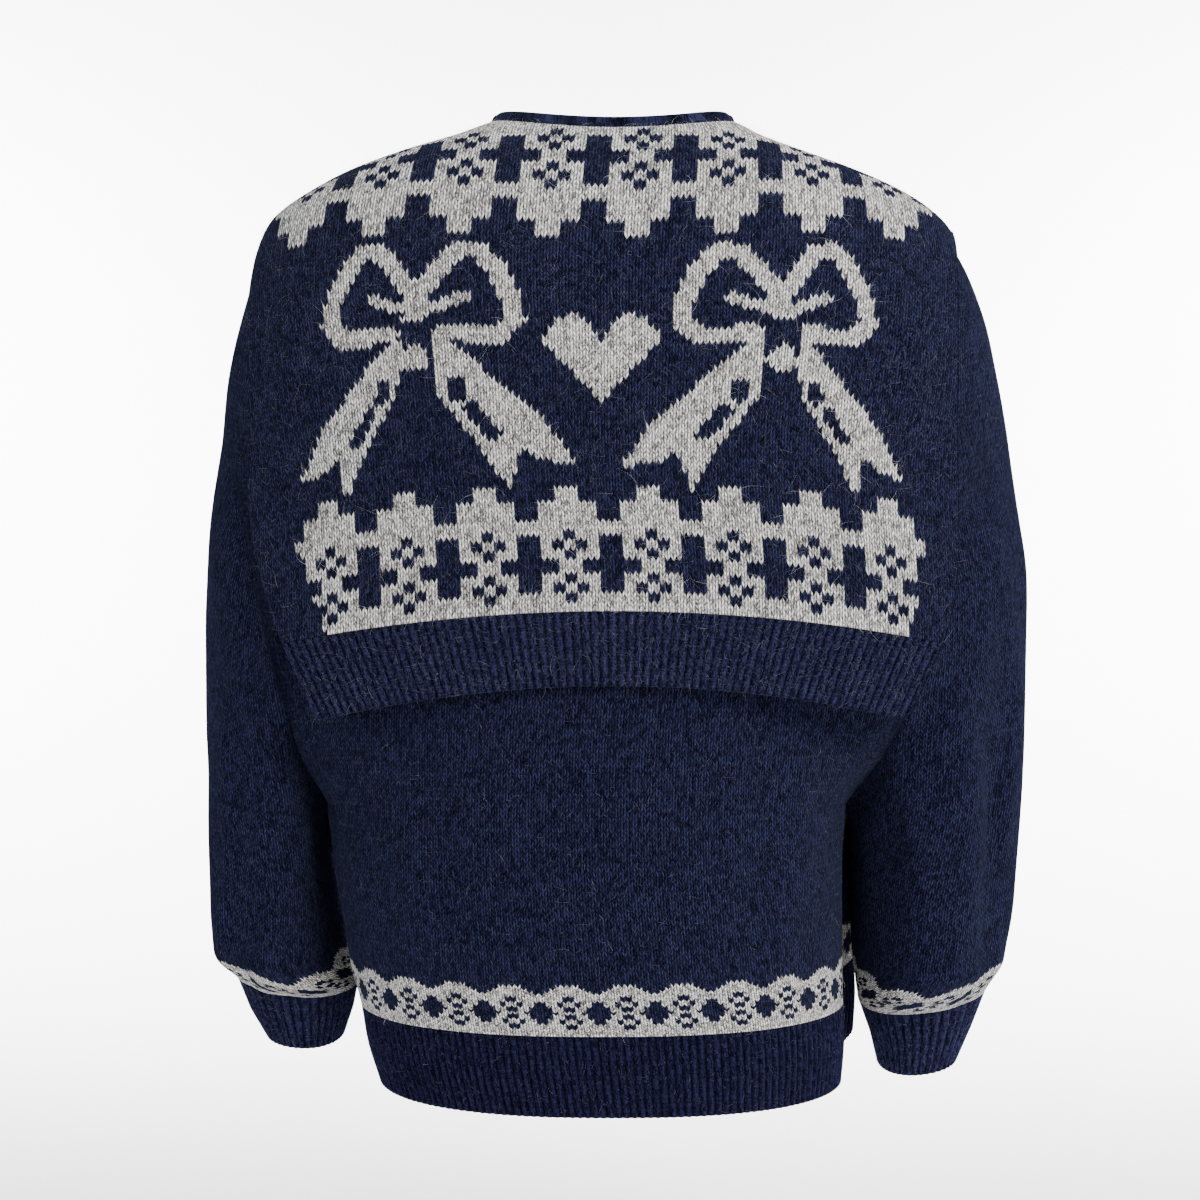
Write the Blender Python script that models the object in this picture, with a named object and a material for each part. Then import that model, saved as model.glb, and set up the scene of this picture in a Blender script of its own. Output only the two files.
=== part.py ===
# Jacquard pullover with a wide collar that falls over the back, in the hollow form it has when worn.
# Metres, +Z up. The front faces -Y, so the back faces +Y, and the wearer's left is +X.
# The origin is on the middle line at the height of the top of the back neck, over the shoulder line.
# Heights below are written as a drop under the origin, in millimetres.

import math

import bmesh
import bpy
import numpy as np

# Driving sizes
MM = 0.001
WALL = 2.4 * MM            # knitted cloth, measured over its pile
SEAM_GAP = 0.5 * MM        # pieces stand this far apart along a seam
ARMHOLE_GAP = 0.9 * MM     # a little more where the cloth turns over the armhole seam
RIB_RELIEF = 1.1 * MM      # how far a rib stands over the furrow beside it
UNDERARM_DROP = 458 * MM
HEM_SEAM_DROP = 588 * MM
HEM_DROP = 640 * MM
NECK_POINT_DROP = 10 * MM  # where the shoulder seam meets the neck
BACK_NECK_DROP = 24 * MM
FRONT_NECK_DROP = 198 * MM
SHOULDER_POINT_DROP = 216 * MM
NECK_EDGE_HEIGHT = 8 * MM
COLLAR_CLEARANCE = 2.0 * MM
COLLAR_FLARE = 5.0 * MM    # the collar's lower edge stands this much further off the back
RIB_TOP_DROP = 351 * MM    # top of the collar's rib at the collar's side edges
RIB_TOP_RISE = 20 * MM     # and this much higher at the middle
COLLAR_DROP = 397 * MM     # lower corners of the collar's rib
COLLAR_RISE = 22 * MM      # the rib's lower edge is this much higher at the middle
FRONT_HEM_LIFT = 16 * MM   # the front rides up beside the right side seam
FRONT_MIDDLE_LIFT = 6 * MM
BODY_ROUNDNESS = 2.4       # exponent of the body's sections: 2 is an ellipse
SLEEVE_ROUNDNESS = 2.2

# Mesh counts
SHOULDER_COLUMNS = 9
NECK_COLUMNS = 10
PANEL_COLUMNS = 2 * SHOULDER_COLUMNS + NECK_COLUMNS
LOWER_ROWS = 5
YOKE_ROWS = 12
SLEEVE_ROWS = 12
COLLAR_SHOULDER_COLUMNS = 9
COLLAR_NECK_COLUMNS = 10
COLLAR_ROWS = 12
FLAP_ROWS = 9
CUFF_POINTS = 4            # points of a rib wall for each column of the cloth above it
HEM_POINTS = 4
COLLAR_RIB_POINTS = 6
FINE_STEPS = 160           # samples of a curve before it is divided
BEND_LENGTH = 120 * MM     # rows close up where a column bends, as if each radian were this long
LEVELLING = 12             # passes that level the rows
NORMAL_SMOOTHING = 8       # passes that even out the directions in which walls are thickened
CROTCH_HEIGHTS = (4 * MM, 55 * MM)
FOLD_ENDS = 0.2            # share of a sleeve's length over which a fold sets in
UNDERARM_HOLLOW = 0.45     # share of the yoke's height over which the armpit's hollow fades out

# Colours, as linear red, green and blue
NAVY = (0.011, 0.0152, 0.0369)
DEEP_NAVY = (0.0075, 0.0105, 0.026)


def table(columns, *rows):
    """Short table with named columns, written in millimetres."""
    return dict(zip(columns.split(), np.array(rows, dtype=float).T * MM))


def read(sizes, column, position):
    """Smooth value of one column at a position along the table's first column."""
    keys = next(iter(sizes.values()))
    values = sizes[column]
    slopes = np.gradient(values, keys)
    position = np.clip(position, keys[0], keys[-1])
    low = np.clip(np.searchsorted(keys, position) - 1, 0, len(keys) - 2)
    width = keys[low + 1] - keys[low]
    t = (position - keys[low]) / width
    ends = (2 * t**3 - 3 * t**2 + 1) * values[low] + (3 * t**2 - 2 * t**3) * values[low + 1]
    bends = (t**3 - 2 * t**2 + t) * slopes[low] + (t**3 - t**2) * slopes[low + 1]
    return ends + bends * width


# Sections through shoulders and upper arms: half widths to each side, depths to back and front
YOKE = table(
    "drop left right back front",
    (0, 58, 56, 22, 22),
    (5, 71, 68, 32, 31),
    (10, 85, 82, 41, 39),
    (20, 110, 100, 53, 49),
    (32, 148, 130, 65, 59),
    (44, 179, 162, 74, 67),
    (57, 203, 191, 82, 74),
    (72, 224, 213, 90, 81),
    (95, 236, 229, 97, 89),
    (135, 249, 246, 106, 98),
    (175, 258, 255, 112, 104),
    (216, 262, 262, 116, 108),
    (330, 272, 271, 122, 114),
    (458, 275, 272, 124, 116),
)

# Sections through the body under the arms and down to the hem
BODY = table(
    "drop left right back front",
    (458, 190.5, 153, 124, 116),
    (497, 188, 152.5, 125, 117),
    (530, 182.5, 152.5, 126, 117),
    (563, 176.5, 152.5, 127, 117),
    (588, 170, 153, 126, 116),
    (612, 166, 154, 122, 113),
    (640, 157.5, 152, 116, 108),
)

# Armhole seams seen from behind, from the underarm up to the shoulder point
ARMHOLE = table(
    "step left left_drop right right_drop",
    (0, 190.5, 458, 153, 458),
    (100, 203, 430, 168, 432),
    (250, 209, 392, 183, 392),
    (500, 221.5, 341, 198, 337),
    (700, 233.5, 290, 211, 287),
    (850, 243, 252, 231, 251),
    (930, 252, 231, 247, 230),
    (1000, 262, 216, 262, 216),
)

# Side edges of the collar seen from behind, from the shoulder line down to its lower corners
COLLAR_EDGE = table(
    "drop left right",
    (82, 231, 220),
    (120, 234, 217),
    (170, 235, 214),
    (210, 231, 212),
    (270, 227, 211),
    (300, 221, 210),
    (325, 213, 207),
    (351, 203, 199),
    (397, 180, 176),
)

# Outer edges of the collar's two front ends, from the shoulder line down to the foot of the neckline
FLAP_EDGE = table(
    "step out drop",
    (0, 231, 82),
    (300, 196, 132),
    (600, 124, 180),
    (850, 52, 214),
    (1000, 9, 232),
)

# Sleeve sections: outer line, inner line, depths to back and front, how low the back of it hangs,
# and how far forward it swings
SLEEVE_COLUMNS = "outer_drop outer inner_drop inner back front dip forward"
LEFT_SLEEVE = table(
    SLEEVE_COLUMNS,
    (262, 268.5, 472, 197, 77, 70, 0, 2),
    (300, 272, 485, 196, 76, 70, 0, 5),
    (350, 274.5, 499, 194, 73, 68, 2, 10),
    (400, 275, 515, 191.5, 71, 65, 4, 14),
    (450, 274.5, 533, 188.5, 69, 62, 6, 18),
    (500, 273.5, 550, 185, 68, 61, 8, 20),
    (535, 271.5, 563, 182, 69, 60, 9, 21),
    (556, 267, 573, 179.5, 66, 56, 9, 22),
    (577, 258, 585, 176, 43, 38, 6, 22),
)
RIGHT_SLEEVE = table(
    SLEEVE_COLUMNS,
    (262, 268, 472, 160, 84, 77, 0, 2),
    (300, 272, 485, 159, 83, 76, 0, 3),
    (350, 272.5, 499, 158.5, 79, 73, 2, 5),
    (400, 271, 515, 159, 76, 70, 4, 6),
    (450, 269.5, 533, 160, 73, 67, 6, 7),
    (500, 266, 552, 161.5, 71, 64, 6, 8),
    (540, 262.5, 568, 162.5, 70, 62, 6, 9),
    (560, 259.5, 580, 164, 67, 58, 6, 9),
    (582, 251.5, 596, 166, 45, 40, 5, 10),
)
LEFT_CUFF = table(
    SLEEVE_COLUMNS,
    (598, 250, 603, 179.5, 39, 35, 5, 23),
    (619, 238, 622, 186, 36, 32, 3, 24),
)
RIGHT_CUFF = table(
    SLEEVE_COLUMNS,
    (607, 242.5, 618, 174, 40, 36, 4, 12),
    (633, 232, 640, 179.5, 36, 32, 2, 14),
)

# Largest folds of the body: place from left side seam to right, width, height, and where it sets in
BODY_FOLD_COLUMNS = ("face", "place", "width", "out", "top_drop", "full_drop")
BODY_FOLDS = (
    (+1, 1.00, 0.045, -6 * MM, 440 * MM, 520 * MM),
    (-1, 1.00, 0.045, -6 * MM, 440 * MM, 520 * MM),
    (-1, 0.885, 0.045, 25 * MM, 430 * MM, 480 * MM),
    (+1, 0.00, 0.050, -2.5 * MM, 440 * MM, 520 * MM),
    (-1, 0.00, 0.050, -2.5 * MM, 440 * MM, 520 * MM),
)

# Largest folds of the sleeves: turn from the outer line over the back, width, height, first and last step
SLEEVE_FOLD_COLUMNS = ("side", "turn", "width", "out", "start", "end")
SLEEVE_FOLDS = (
    (+1, 0.105, 0.035, 3.5 * MM, 0.35, 1.10),
    (+1, 0.175, 0.040, -3.5 * MM, 0.45, 1.10),
    (+1, 0.300, 0.050, -3.0 * MM, 0.15, 0.70),
    (-1, 0.085, 0.030, 5.0 * MM, 0.05, 1.00),
    (-1, 0.160, 0.040, -4.5 * MM, 0.10, 1.05),
    (-1, 0.280, 0.050, 3.0 * MM, 0.30, 0.95),
    (-1, 0.360, 0.040, -3.0 * MM, 0.20, 0.80),
    (+1, 0.720, 0.050, -3.0 * MM, 0.20, 0.80),
    (-1, 0.740, 0.050, -3.0 * MM, 0.20, 0.80),
)


def ease(value, start, end):
    """0 before start, 1 after end, with a soft change between them."""
    t = np.clip((value - start) / (end - start), 0, 1)
    return t * t * (3 - 2 * t)


def bump(value, centre, width):
    return np.exp(-((value - centre) / width) ** 2)


def superellipse(turn, roundness):
    """Unit section: turn 0 points out along +X, a quarter turn along +Y."""
    c, s = np.cos(turn), np.sin(turn)
    power = 2 / roundness
    return np.sign(c) * abs(c) ** power, np.sign(s) * abs(s) ** power


def evenly(points, count, bend_length=0.0, carried=None):
    """The same line in count lengths: equal ones, or shorter where it bends if bend_length is given.

    What is carried along the line is divided at the same places and given in its stead.
    """
    points = np.asarray(points)
    carried = points if carried is None else carried
    ways = np.diff(points, axis=0)
    steps = np.linalg.norm(ways, axis=1)
    ways = ways / np.maximum(steps, 1e-9)[:, None]
    bends = np.linalg.norm(np.diff(ways, axis=0), axis=1)
    steps = steps + bend_length * (np.append(bends, 0) + np.append(0, bends)) / 2
    along = np.concatenate([[0], np.cumsum(steps)])
    wanted = np.linspace(0, along[-1], count + 1)
    return np.stack([np.interp(wanted, along, carried[:, k]) for k in range(carried.shape[1])], axis=-1)


def rows_over(columns, shares, count):
    """Rows of points over dense columns: closer where the columns bend, level from one to the next."""
    shares_of = shares[:, None]
    places = np.stack([evenly(line, count, BEND_LENGTH, shares_of)[:, 0] for line in columns], axis=1)
    for _ in range(LEVELLING):
        places[:, 1:-1] = (places[:, :-2] + 2 * places[:, 1:-1] + places[:, 2:]) / 4
    rows = [[np.interp(places[:, c], shares, line[:, k]) for k in range(3)]
            for c, line in enumerate(columns)]
    return np.array(rows).transpose(2, 0, 1)


def unit(ways):
    return ways / np.linalg.norm(ways, axis=-1, keepdims=True)


def yoke_point(x, drop, face):
    """Point of the sections through shoulders and upper arms; face is 1 behind and -1 in front."""
    half = np.where(x > 0, read(YOKE, "left", drop), read(YOKE, "right", drop))
    share = np.clip(1 - (abs(x) / half) ** BODY_ROUNDNESS, 0, None) ** (1 / BODY_ROUNDNESS)
    depth = read(YOKE, "back" if face > 0 else "front", drop) * share
    return np.stack([x, face * depth, -drop], axis=-1)


def divided(flat, face, count):
    """A line on the yoke, as places across and drops, divided evenly along the cloth."""
    return evenly(yoke_point(flat[:, 0], flat[:, 1], face), count, carried=flat)


def hem_lift(place, face):
    """How much the lower edge rides up, from the left side seam (0) to the right one (1)."""
    if face > 0:
        return 0 * place
    beside_seam = FRONT_HEM_LIFT * ease(place, 0.40, 0.85) * ease(place, 1.0, 0.86)
    return beside_seam + FRONT_MIDDLE_LIFT * np.sin(math.pi * place) ** 2


def body_point(place, drop, face):
    """Point of the body under the arms."""
    left, right = read(BODY, "left", drop), read(BODY, "right", drop)
    across, deep = superellipse(math.pi * place, BODY_ROUNDNESS)
    centre = (left - right) / 2
    x = across * (left + right) / 2
    y = face * deep * read(BODY, "back" if face > 0 else "front", drop)
    out = np.zeros_like(place)
    for row in BODY_FOLDS:
        fold = dict(zip(BODY_FOLD_COLUMNS, row))
        if fold["face"] == face:
            sets_in = ease(drop, fold["top_drop"], fold["full_drop"])
            out = out + fold["out"] * sets_in * bump(place, fold["place"], fold["width"])
    length = np.hypot(x, y)
    grown = 1 + out * ease(drop, UNDERARM_DROP, UNDERARM_DROP + 30 * MM) / length
    lift = hem_lift(place, face) * ease(drop, UNDERARM_DROP, HEM_SEAM_DROP)
    return np.stack([centre + x * grown, y * grown, lift - drop], axis=-1)


def shoulder_line(side, top_drop, bottom_drop):
    """Shoulder seam from below up to the neck, on the sections' outer ends."""
    drops = np.linspace(bottom_drop, top_drop, FINE_STEPS)
    half = read(YOKE, "left" if side > 0 else "right", drops)
    return np.stack([side * half, drops], axis=-1)


def neck_line(face):
    """Neck seam from left to right, seen from behind: round at the back, pointed in front."""
    left = read(YOKE, "left", NECK_POINT_DROP)
    right = read(YOKE, "right", NECK_POINT_DROP)
    x = np.linspace(left, -right, FINE_STEPS + 1)
    across = np.where(x > 0, x / left, -x / right)
    if face > 0:
        drop = NECK_POINT_DROP + (BACK_NECK_DROP - NECK_POINT_DROP) * (1 - across ** 2)
    else:
        drop = NECK_POINT_DROP + (FRONT_NECK_DROP - NECK_POINT_DROP) * (1 - across) ** 1.15
    return np.stack([x, drop], axis=-1)


def top_line(face, lowest_left, lowest_right, shoulder_columns, neck_columns):
    """Shoulder seam, neck and shoulder seam, as places across and drops."""
    left = evenly(shoulder_line(+1, NECK_POINT_DROP, lowest_left), shoulder_columns)
    neck = divided(neck_line(face), face, neck_columns)
    right = evenly(shoulder_line(-1, NECK_POINT_DROP, lowest_right), shoulder_columns)[::-1]
    return np.concatenate([left, neck[1:], right[1:]])


def filled(bottom, top, left, right, row, column):
    """Point inside four edge lines: each edge is a function of its share from 0 to 1."""
    ruled = (1 - row) * bottom(column) + row * top(column)
    crossed = (1 - column) * left(row) + column * right(row)
    corners = ((1 - row) * (1 - column) * bottom(0.0) + (1 - row) * column * bottom(1.0)
               + row * (1 - column) * top(0.0) + row * column * top(1.0))
    return ruled + crossed - corners


def along(line):
    """Function of the share along a line whose points stand for equal shares."""
    shares = np.linspace(0, 1, len(line))

    def at(share):
        return np.array([np.interp(share, shares, line[:, k]) for k in range(line.shape[1])])
    return at


def panel(face):
    """Front or back: rows from the hem seam up, columns from the left side seam to the right."""
    places = np.linspace(0, 1, PANEL_COLUMNS + 1)
    lower = [body_point(places, drop, face)
             for drop in np.linspace(HEM_SEAM_DROP, UNDERARM_DROP, LOWER_ROWS + 1)[:-1]]
    underarm = body_point(places, UNDERARM_DROP, face)
    top = top_line(face, SHOULDER_POINT_DROP, SHOULDER_POINT_DROP, SHOULDER_COLUMNS, NECK_COLUMNS)
    steps = np.linspace(0, 1, FINE_STEPS)

    def armhole(side, name):
        return along(np.stack([side * read(ARMHOLE, name, steps), read(ARMHOLE, name + "_drop", steps)],
                              axis=-1))

    bottom = along(np.stack([underarm[:, 0], -underarm[:, 2]], axis=-1))
    climb = 1 - (1 - steps) ** 2
    lines = []
    for column, place in enumerate(places):
        flat = np.array([filled(bottom, along(top), armhole(+1, "left"), armhole(-1, "right"), s, place)
                         for s in climb])
        line = yoke_point(flat[:, 0], flat[:, 1], face)
        inside = ease(min(place, 1 - place), 0, 0.2)
        leaving = np.sin(math.pi / 2 * np.minimum(1, climb / UNDERARM_HOLLOW)) ** (0.7 + 0.6 * inside)
        line[:, 1] = leaving * line[:, 1] + (1 - leaving) * underarm[column, 1]
        if min(column, PANEL_COLUMNS - column) <= SHOULDER_COLUMNS:
            line[-1, 1] = 0
        lines.append(line)
    return np.concatenate([np.array(lower), rows_over(lines, climb, YOKE_ROWS)])


def sleeve_ring(sizes, row, side, count):
    """One section of a sleeve, from its outer line over the back to the inner line and the front."""
    turn = np.linspace(0, 2 * math.pi, count, endpoint=False)
    out, deep = superellipse(turn, SLEEVE_ROUNDNESS)
    centre = (sizes["outer"][row] + sizes["inner"][row]) / 2
    half = (sizes["outer"][row] - sizes["inner"][row]) / 2
    middle = (sizes["outer_drop"][row] + sizes["inner_drop"][row]) / 2
    tilt = (sizes["outer_drop"][row] - sizes["inner_drop"][row]) / 2
    depth = np.where(deep > 0, sizes["back"][row], sizes["front"][row])
    drop = middle + tilt * out + sizes["dip"][row] * deep
    return np.stack([side * (centre + half * out), depth * deep - sizes["forward"][row], -drop], axis=-1)


def smooth_line(points, count):
    """Curve through the points of one line along a sleeve, divided evenly."""
    points = np.asarray(points)
    steps = np.linalg.norm(np.diff(points, axis=0), axis=1)
    keys = np.concatenate([[0], np.cumsum(steps)])
    wanted = np.linspace(0, keys[-1], FINE_STEPS)
    curve = [read({"key": keys, "value": points[:, k]}, "value", wanted) for k in range(3)]
    return evenly(np.stack(curve, axis=-1), count)


def sleeve(side, back, front, sizes):
    """Sleeve from the armhole to the cuff seam; its first ring is the edge of the two panels."""
    edge = 0 if side > 0 else -1
    back_edge = back[LOWER_ROWS:, edge][::-1]
    front_edge = front[LOWER_ROWS:, edge]
    armhole = np.concatenate([back_edge, front_edge[1:-1]])
    count = len(armhole)
    rings = [armhole] + [sleeve_ring(sizes, row, side, count) for row in range(len(sizes["outer"]))]
    lines = [smooth_line([ring[k] for ring in rings], SLEEVE_ROWS) for k in range(count)]
    grid = np.stack(lines, axis=1)
    centre = grid.mean(axis=1, keepdims=True)
    away = unit(grid - centre)
    steps = np.linspace(0, 1, SLEEVE_ROWS + 1)[:, None]
    turns = np.linspace(0, 1, count, endpoint=False)[None, :]
    out = np.zeros((SLEEVE_ROWS + 1, count))
    for row in SLEEVE_FOLDS:
        fold = dict(zip(SLEEVE_FOLD_COLUMNS, row))
        if fold["side"] == side:
            setting_in = ease(steps, fold["start"], fold["start"] + FOLD_ENDS)
            reach = setting_in * ease(steps, fold["end"], fold["end"] - FOLD_ENDS)
            out = out + fold["out"] * reach * bump(turns, fold["turn"], fold["width"])
    held = ease(steps, 0, 0.1) * ease(steps, 1, 0.9)
    return grid + away * (out * held)[..., None]


def cuff(side, last_ring, sizes):
    rings = [sleeve_ring(sizes, row, side, len(last_ring)) for row in range(len(sizes["outer"]))]
    return np.stack([last_ring] + rings)


def collar_side(row, side, top_drop, bottom_drop):
    """Place of the collar's side edge at a share of its way down."""
    drop = top_drop + (bottom_drop - top_drop) * row
    return np.array([side * read(COLLAR_EDGE, "left" if side > 0 else "right", drop), drop])


def collar_row(drop, rise, count):
    """Level line across the collar, higher in the middle than at the side edges."""
    left = read(COLLAR_EDGE, "left", drop)
    right = read(COLLAR_EDGE, "right", drop)
    across = np.linspace(1, -1, FINE_STEPS)
    x = (left - right) / 2 + (left + right) / 2 * across
    return divided(np.stack([x, drop - rise * (1 - across ** 2)], axis=-1), +1, count)


def collar():
    """Collar without its rib: the back with both front ends, as points and quads over them."""
    count = 2 * COLLAR_SHOULDER_COLUMNS + COLLAR_NECK_COLUMNS
    start = COLLAR_EDGE["drop"][0]
    top = top_line(+1, start, start, COLLAR_SHOULDER_COLUMNS, COLLAR_NECK_COLUMNS)
    top[0, 0], top[-1, 0] = COLLAR_EDGE["left"][0], -COLLAR_EDGE["right"][0]
    bottom = collar_row(RIB_TOP_DROP, RIB_TOP_RISE, count)
    steps = np.linspace(0, 1, FINE_STEPS)
    fall = steps ** 2
    lines = []
    for column in range(count + 1):
        flat = np.array([filled(along(top), along(bottom),
                                lambda row: collar_side(row, +1, start, RIB_TOP_DROP),
                                lambda row: collar_side(row, -1, start, RIB_TOP_DROP),
                                s, column / count) for s in fall])
        line = yoke_point(flat[:, 0], flat[:, 1], +1)
        if min(column, count - column) <= COLLAR_SHOULDER_COLUMNS:
            line[0, 1] = 0
        lines.append(line)
    back = rows_over(lines, fall, COLLAR_ROWS)
    points = [back.reshape(-1, 3)]
    index = np.arange((COLLAR_ROWS + 1) * (count + 1)).reshape(COLLAR_ROWS + 1, count + 1)
    quads = grid_quads(index)
    for side in (+1, -1):
        columns = np.arange(COLLAR_SHOULDER_COLUMNS + 1)
        shared = index[0, columns if side > 0 else count - columns]
        flap = front_end(side, back.reshape(-1, 3)[shared])
        first = sum(len(part) for part in points)
        fresh = first + np.arange(flap[1:].reshape(-1, 3).shape[0]).reshape(FLAP_ROWS, -1)
        mapped = np.concatenate([shared[None], fresh])
        quads = quads + [quad if side < 0 else quad[::-1] for quad in grid_quads(mapped)]
        points.append(flap[1:].reshape(-1, 3))
    return np.concatenate(points), quads, back


def front_end(side, shoulder):
    """Front end of the collar, from its outer edge (first column) to the neck seam (last column)."""
    name = "left" if side > 0 else "right"
    half_neck = read(YOKE, name, NECK_POINT_DROP)
    width = abs(shoulder[0, 0]) / FLAP_EDGE["out"][0]
    columns = len(shoulder) - 1
    steps = np.linspace(0, 1, FINE_STEPS)
    fall = steps ** 1.6
    lines = []
    top = np.stack([abs(shoulder[:, 0]), -shoulder[:, 2]], axis=-1)
    outer = np.stack([width * read(FLAP_EDGE, "out", steps), read(FLAP_EDGE, "drop", steps)], axis=-1)
    across = 1 - 0.965 * steps
    neck = np.stack([half_neck * across, NECK_POINT_DROP + (FRONT_NECK_DROP - NECK_POINT_DROP)
                     * (1 - across) ** 1.15], axis=-1)
    foot = np.linspace(outer[-1], neck[-1], columns + 1)
    for column in range(columns + 1):
        flat = np.array([filled(along(top), along(foot), along(outer), along(neck), s, column / columns)
                         for s in fall])
        line = yoke_point(side * flat[:, 0], flat[:, 1], -1)
        line[0] = shoulder[column]
        lines.append(line)
    return rows_over(lines, fall, FLAP_ROWS)


def collar_rib(back):
    """Rows of the rib under the collar's back."""
    count = back.shape[1] - 1
    low = collar_row(COLLAR_DROP, COLLAR_RISE, count)
    middle = (np.stack([back[-1, :, 0], -back[-1, :, 2]], axis=-1) + low) / 2
    lines = [yoke_point(line[:, 0], line[:, 1], +1) for line in (middle, low)]
    return np.stack([back[-1]] + lines)


def grid_quads(index, closed=False):
    """Faces of a grid of point numbers, seen from outside with rows going up."""
    rows, columns = index.shape
    last = columns if closed else columns - 1
    return [(index[r, c], index[r, (c + 1) % columns], index[r + 1, (c + 1) % columns], index[r + 1, c])
            for r in range(rows - 1) for c in range(last)]


def shared_normals(pieces):
    """Directions out of the cloth at each point; pieces that meet at a point share one."""
    sums = {}
    for points, quads in pieces:
        for quad in quads:
            a, b, c, d = (points[k] for k in quad)
            facing = np.cross(c - a, d - b)
            for corner in quad:
                key = tuple(np.round(points[corner], 6) + 0.0)
                sums[key] = sums.get(key, 0) + facing
    numbers = {key: number for number, key in enumerate(sums)}
    spots = [[numbers[tuple(np.round(point, 6) + 0.0)] for point in points] for points, _ in pieces]
    edges = np.array([(spot[a], spot[b]) for spot, (_, quads) in zip(spots, pieces)
                      for quad in quads for a, b in zip(quad, quad[1:] + quad[:1])])
    out = unit(np.array(list(sums.values())))
    for _ in range(NORMAL_SMOOTHING):
        around = np.zeros_like(out)
        np.add.at(around, edges[:, 0], out[edges[:, 1]])
        np.add.at(around, edges[:, 1], out[edges[:, 0]])
        out = unit(out + unit(around))
    return [out[spot] for spot in spots]


def blended(own, joined, grid):
    """Directions shared over the armhole seam, and a piece's own ones in the crotch under the arm."""
    height = grid[..., 2].reshape(-1, 1) + UNDERARM_DROP
    share = ease(height, *CROTCH_HEIGHTS)
    return unit(own + share * (joined - own))


def drawn_in(grid, closed):
    """Shift of each point that draws a piece's edges back from its seams."""
    shift = np.zeros_like(grid)
    shift[0] += unit(grid[1] - grid[0]) * SEAM_GAP / 2
    shift[-1] += unit(grid[-2] - grid[-1]) * SEAM_GAP / 2
    if not closed:
        shift[:, 0] += unit(grid[:, 1] - grid[:, 0]) * SEAM_GAP / 2
        shift[:, -1] += unit(grid[:, -2] - grid[:, -1]) * SEAM_GAP / 2
    return shift


def parted_at_armholes(back, front, sleeves):
    """Shifts of both panels and both sleeves, which part them even where they hang side by side."""
    shifts = {"back": drawn_in(back, False), "front": drawn_in(front, False)}
    for side, grid in sleeves.items():
        edge, beside = (0, 1) if side > 0 else (-1, -2)
        seam = grid[0]
        panels = np.concatenate([back[LOWER_ROWS:, beside][::-1], front[LOWER_ROWS:, beside][1:-1]])
        panels[YOKE_ROWS] = back[LOWER_ROWS - 1, edge]
        apart = unit(unit(grid[1] - seam) - unit(panels - seam)) * ARMHOLE_GAP / 2
        shifts[side] = drawn_in(grid, True)
        shifts[side][0] = apart
        halves = {"back": apart[:YOKE_ROWS + 1][::-1],
                  "front": np.append(apart[YOKE_ROWS:], apart[:1], axis=0)}
        for name, panel_grid in (("back", back), ("front", front)):
            inwards = unit(panel_grid[LOWER_ROWS + 1:, beside] - panel_grid[LOWER_ROWS + 1:, edge])
            shifts[name][LOWER_ROWS + 1:, edge] -= inwards * SEAM_GAP / 2
            shifts[name][LOWER_ROWS:, edge] -= halves[name]
    return shifts


def finer(grid, parts, closed):
    """Columns added between the columns of a grid."""
    ends = np.concatenate([grid, grid[:, :1]], axis=1) if closed else grid
    shares = np.arange(parts) / parts
    between = [ends[:, c] + share * (ends[:, c + 1] - ends[:, c])
               for c in range(ends.shape[1] - 1) for share in shares]
    if not closed:
        between.append(ends[:, -1])
    return np.stack(between, axis=1)


def cloth_object(collection, name, outside, inside, quads, colour, roughness=0.92):
    """Closed wall between two layers of points that share their quads."""
    count = len(outside)
    edges = {}
    for quad in quads:
        for start, end in zip(quad, quad[1:] + quad[:1]):
            edges[(start, end)] = True
    rims = [(end, start, start + count, end + count) for start, end in edges if (end, start) not in edges]
    faces = list(quads) + [tuple(k + count for k in quad[::-1]) for quad in quads] + rims
    mesh = bpy.data.meshes.new(name)
    corners = [[int(k) for k in face] for face in faces]
    mesh.from_pydata(np.concatenate([outside, inside]).tolist(), [], corners)
    cloth = bmesh.new()
    cloth.from_mesh(mesh)
    bmesh.ops.recalc_face_normals(cloth, faces=cloth.faces)
    if cloth.calc_volume(signed=True) < 0:
        bmesh.ops.reverse_faces(cloth, faces=cloth.faces)
    cloth.to_mesh(mesh)
    cloth.free()
    mesh.shade_smooth()
    mesh.set_sharp_from_angle(angle=math.radians(50))
    material = bpy.data.materials.new(name + "_knit")
    material.use_nodes = True
    shader = material.node_tree.nodes["Principled BSDF"]
    shader.inputs["Base Color"].default_value = (*colour, 1)
    shader.inputs["Roughness"].default_value = roughness
    shader.inputs["Metallic"].default_value = 0.0
    mesh.materials.append(material)
    piece = bpy.data.objects.new(name, mesh)
    collection.objects.link(piece)
    return piece


def flat_cloth(collection, name, grid, shift, normals, closed, colour):
    """Plain piece from a grid."""
    normals = normals.reshape(grid.shape)
    shifted = grid + shift
    index = np.arange(grid.shape[0] * grid.shape[1]).reshape(grid.shape[:2])
    outside = shifted.reshape(-1, 3)
    inside = (shifted - normals * WALL).reshape(-1, 3)
    return cloth_object(collection, name, outside, inside, grid_quads(index, closed), colour)


def ribbed_cloth(collection, name, grid, normals, closed, parts, colour, lift=0.0):
    """Ribbed piece from a grid: ribs stand in the outer points, and the inside is plain."""
    normals = normals.reshape(grid.shape)
    shifted = grid + drawn_in(grid, closed)
    out = unit(finer(normals, parts, closed))
    base = finer(shifted + normals * lift, parts, closed)
    furrow = (np.arange(base.shape[1]) % 2 == 1)[None, :, None]
    outside = base - out * RIB_RELIEF * furrow
    inside = base - out * WALL
    index = np.arange(base.shape[0] * base.shape[1]).reshape(base.shape[:2])
    return cloth_object(collection, name, outside.reshape(-1, 3), inside.reshape(-1, 3),
                        grid_quads(index, closed), colour)


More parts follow.
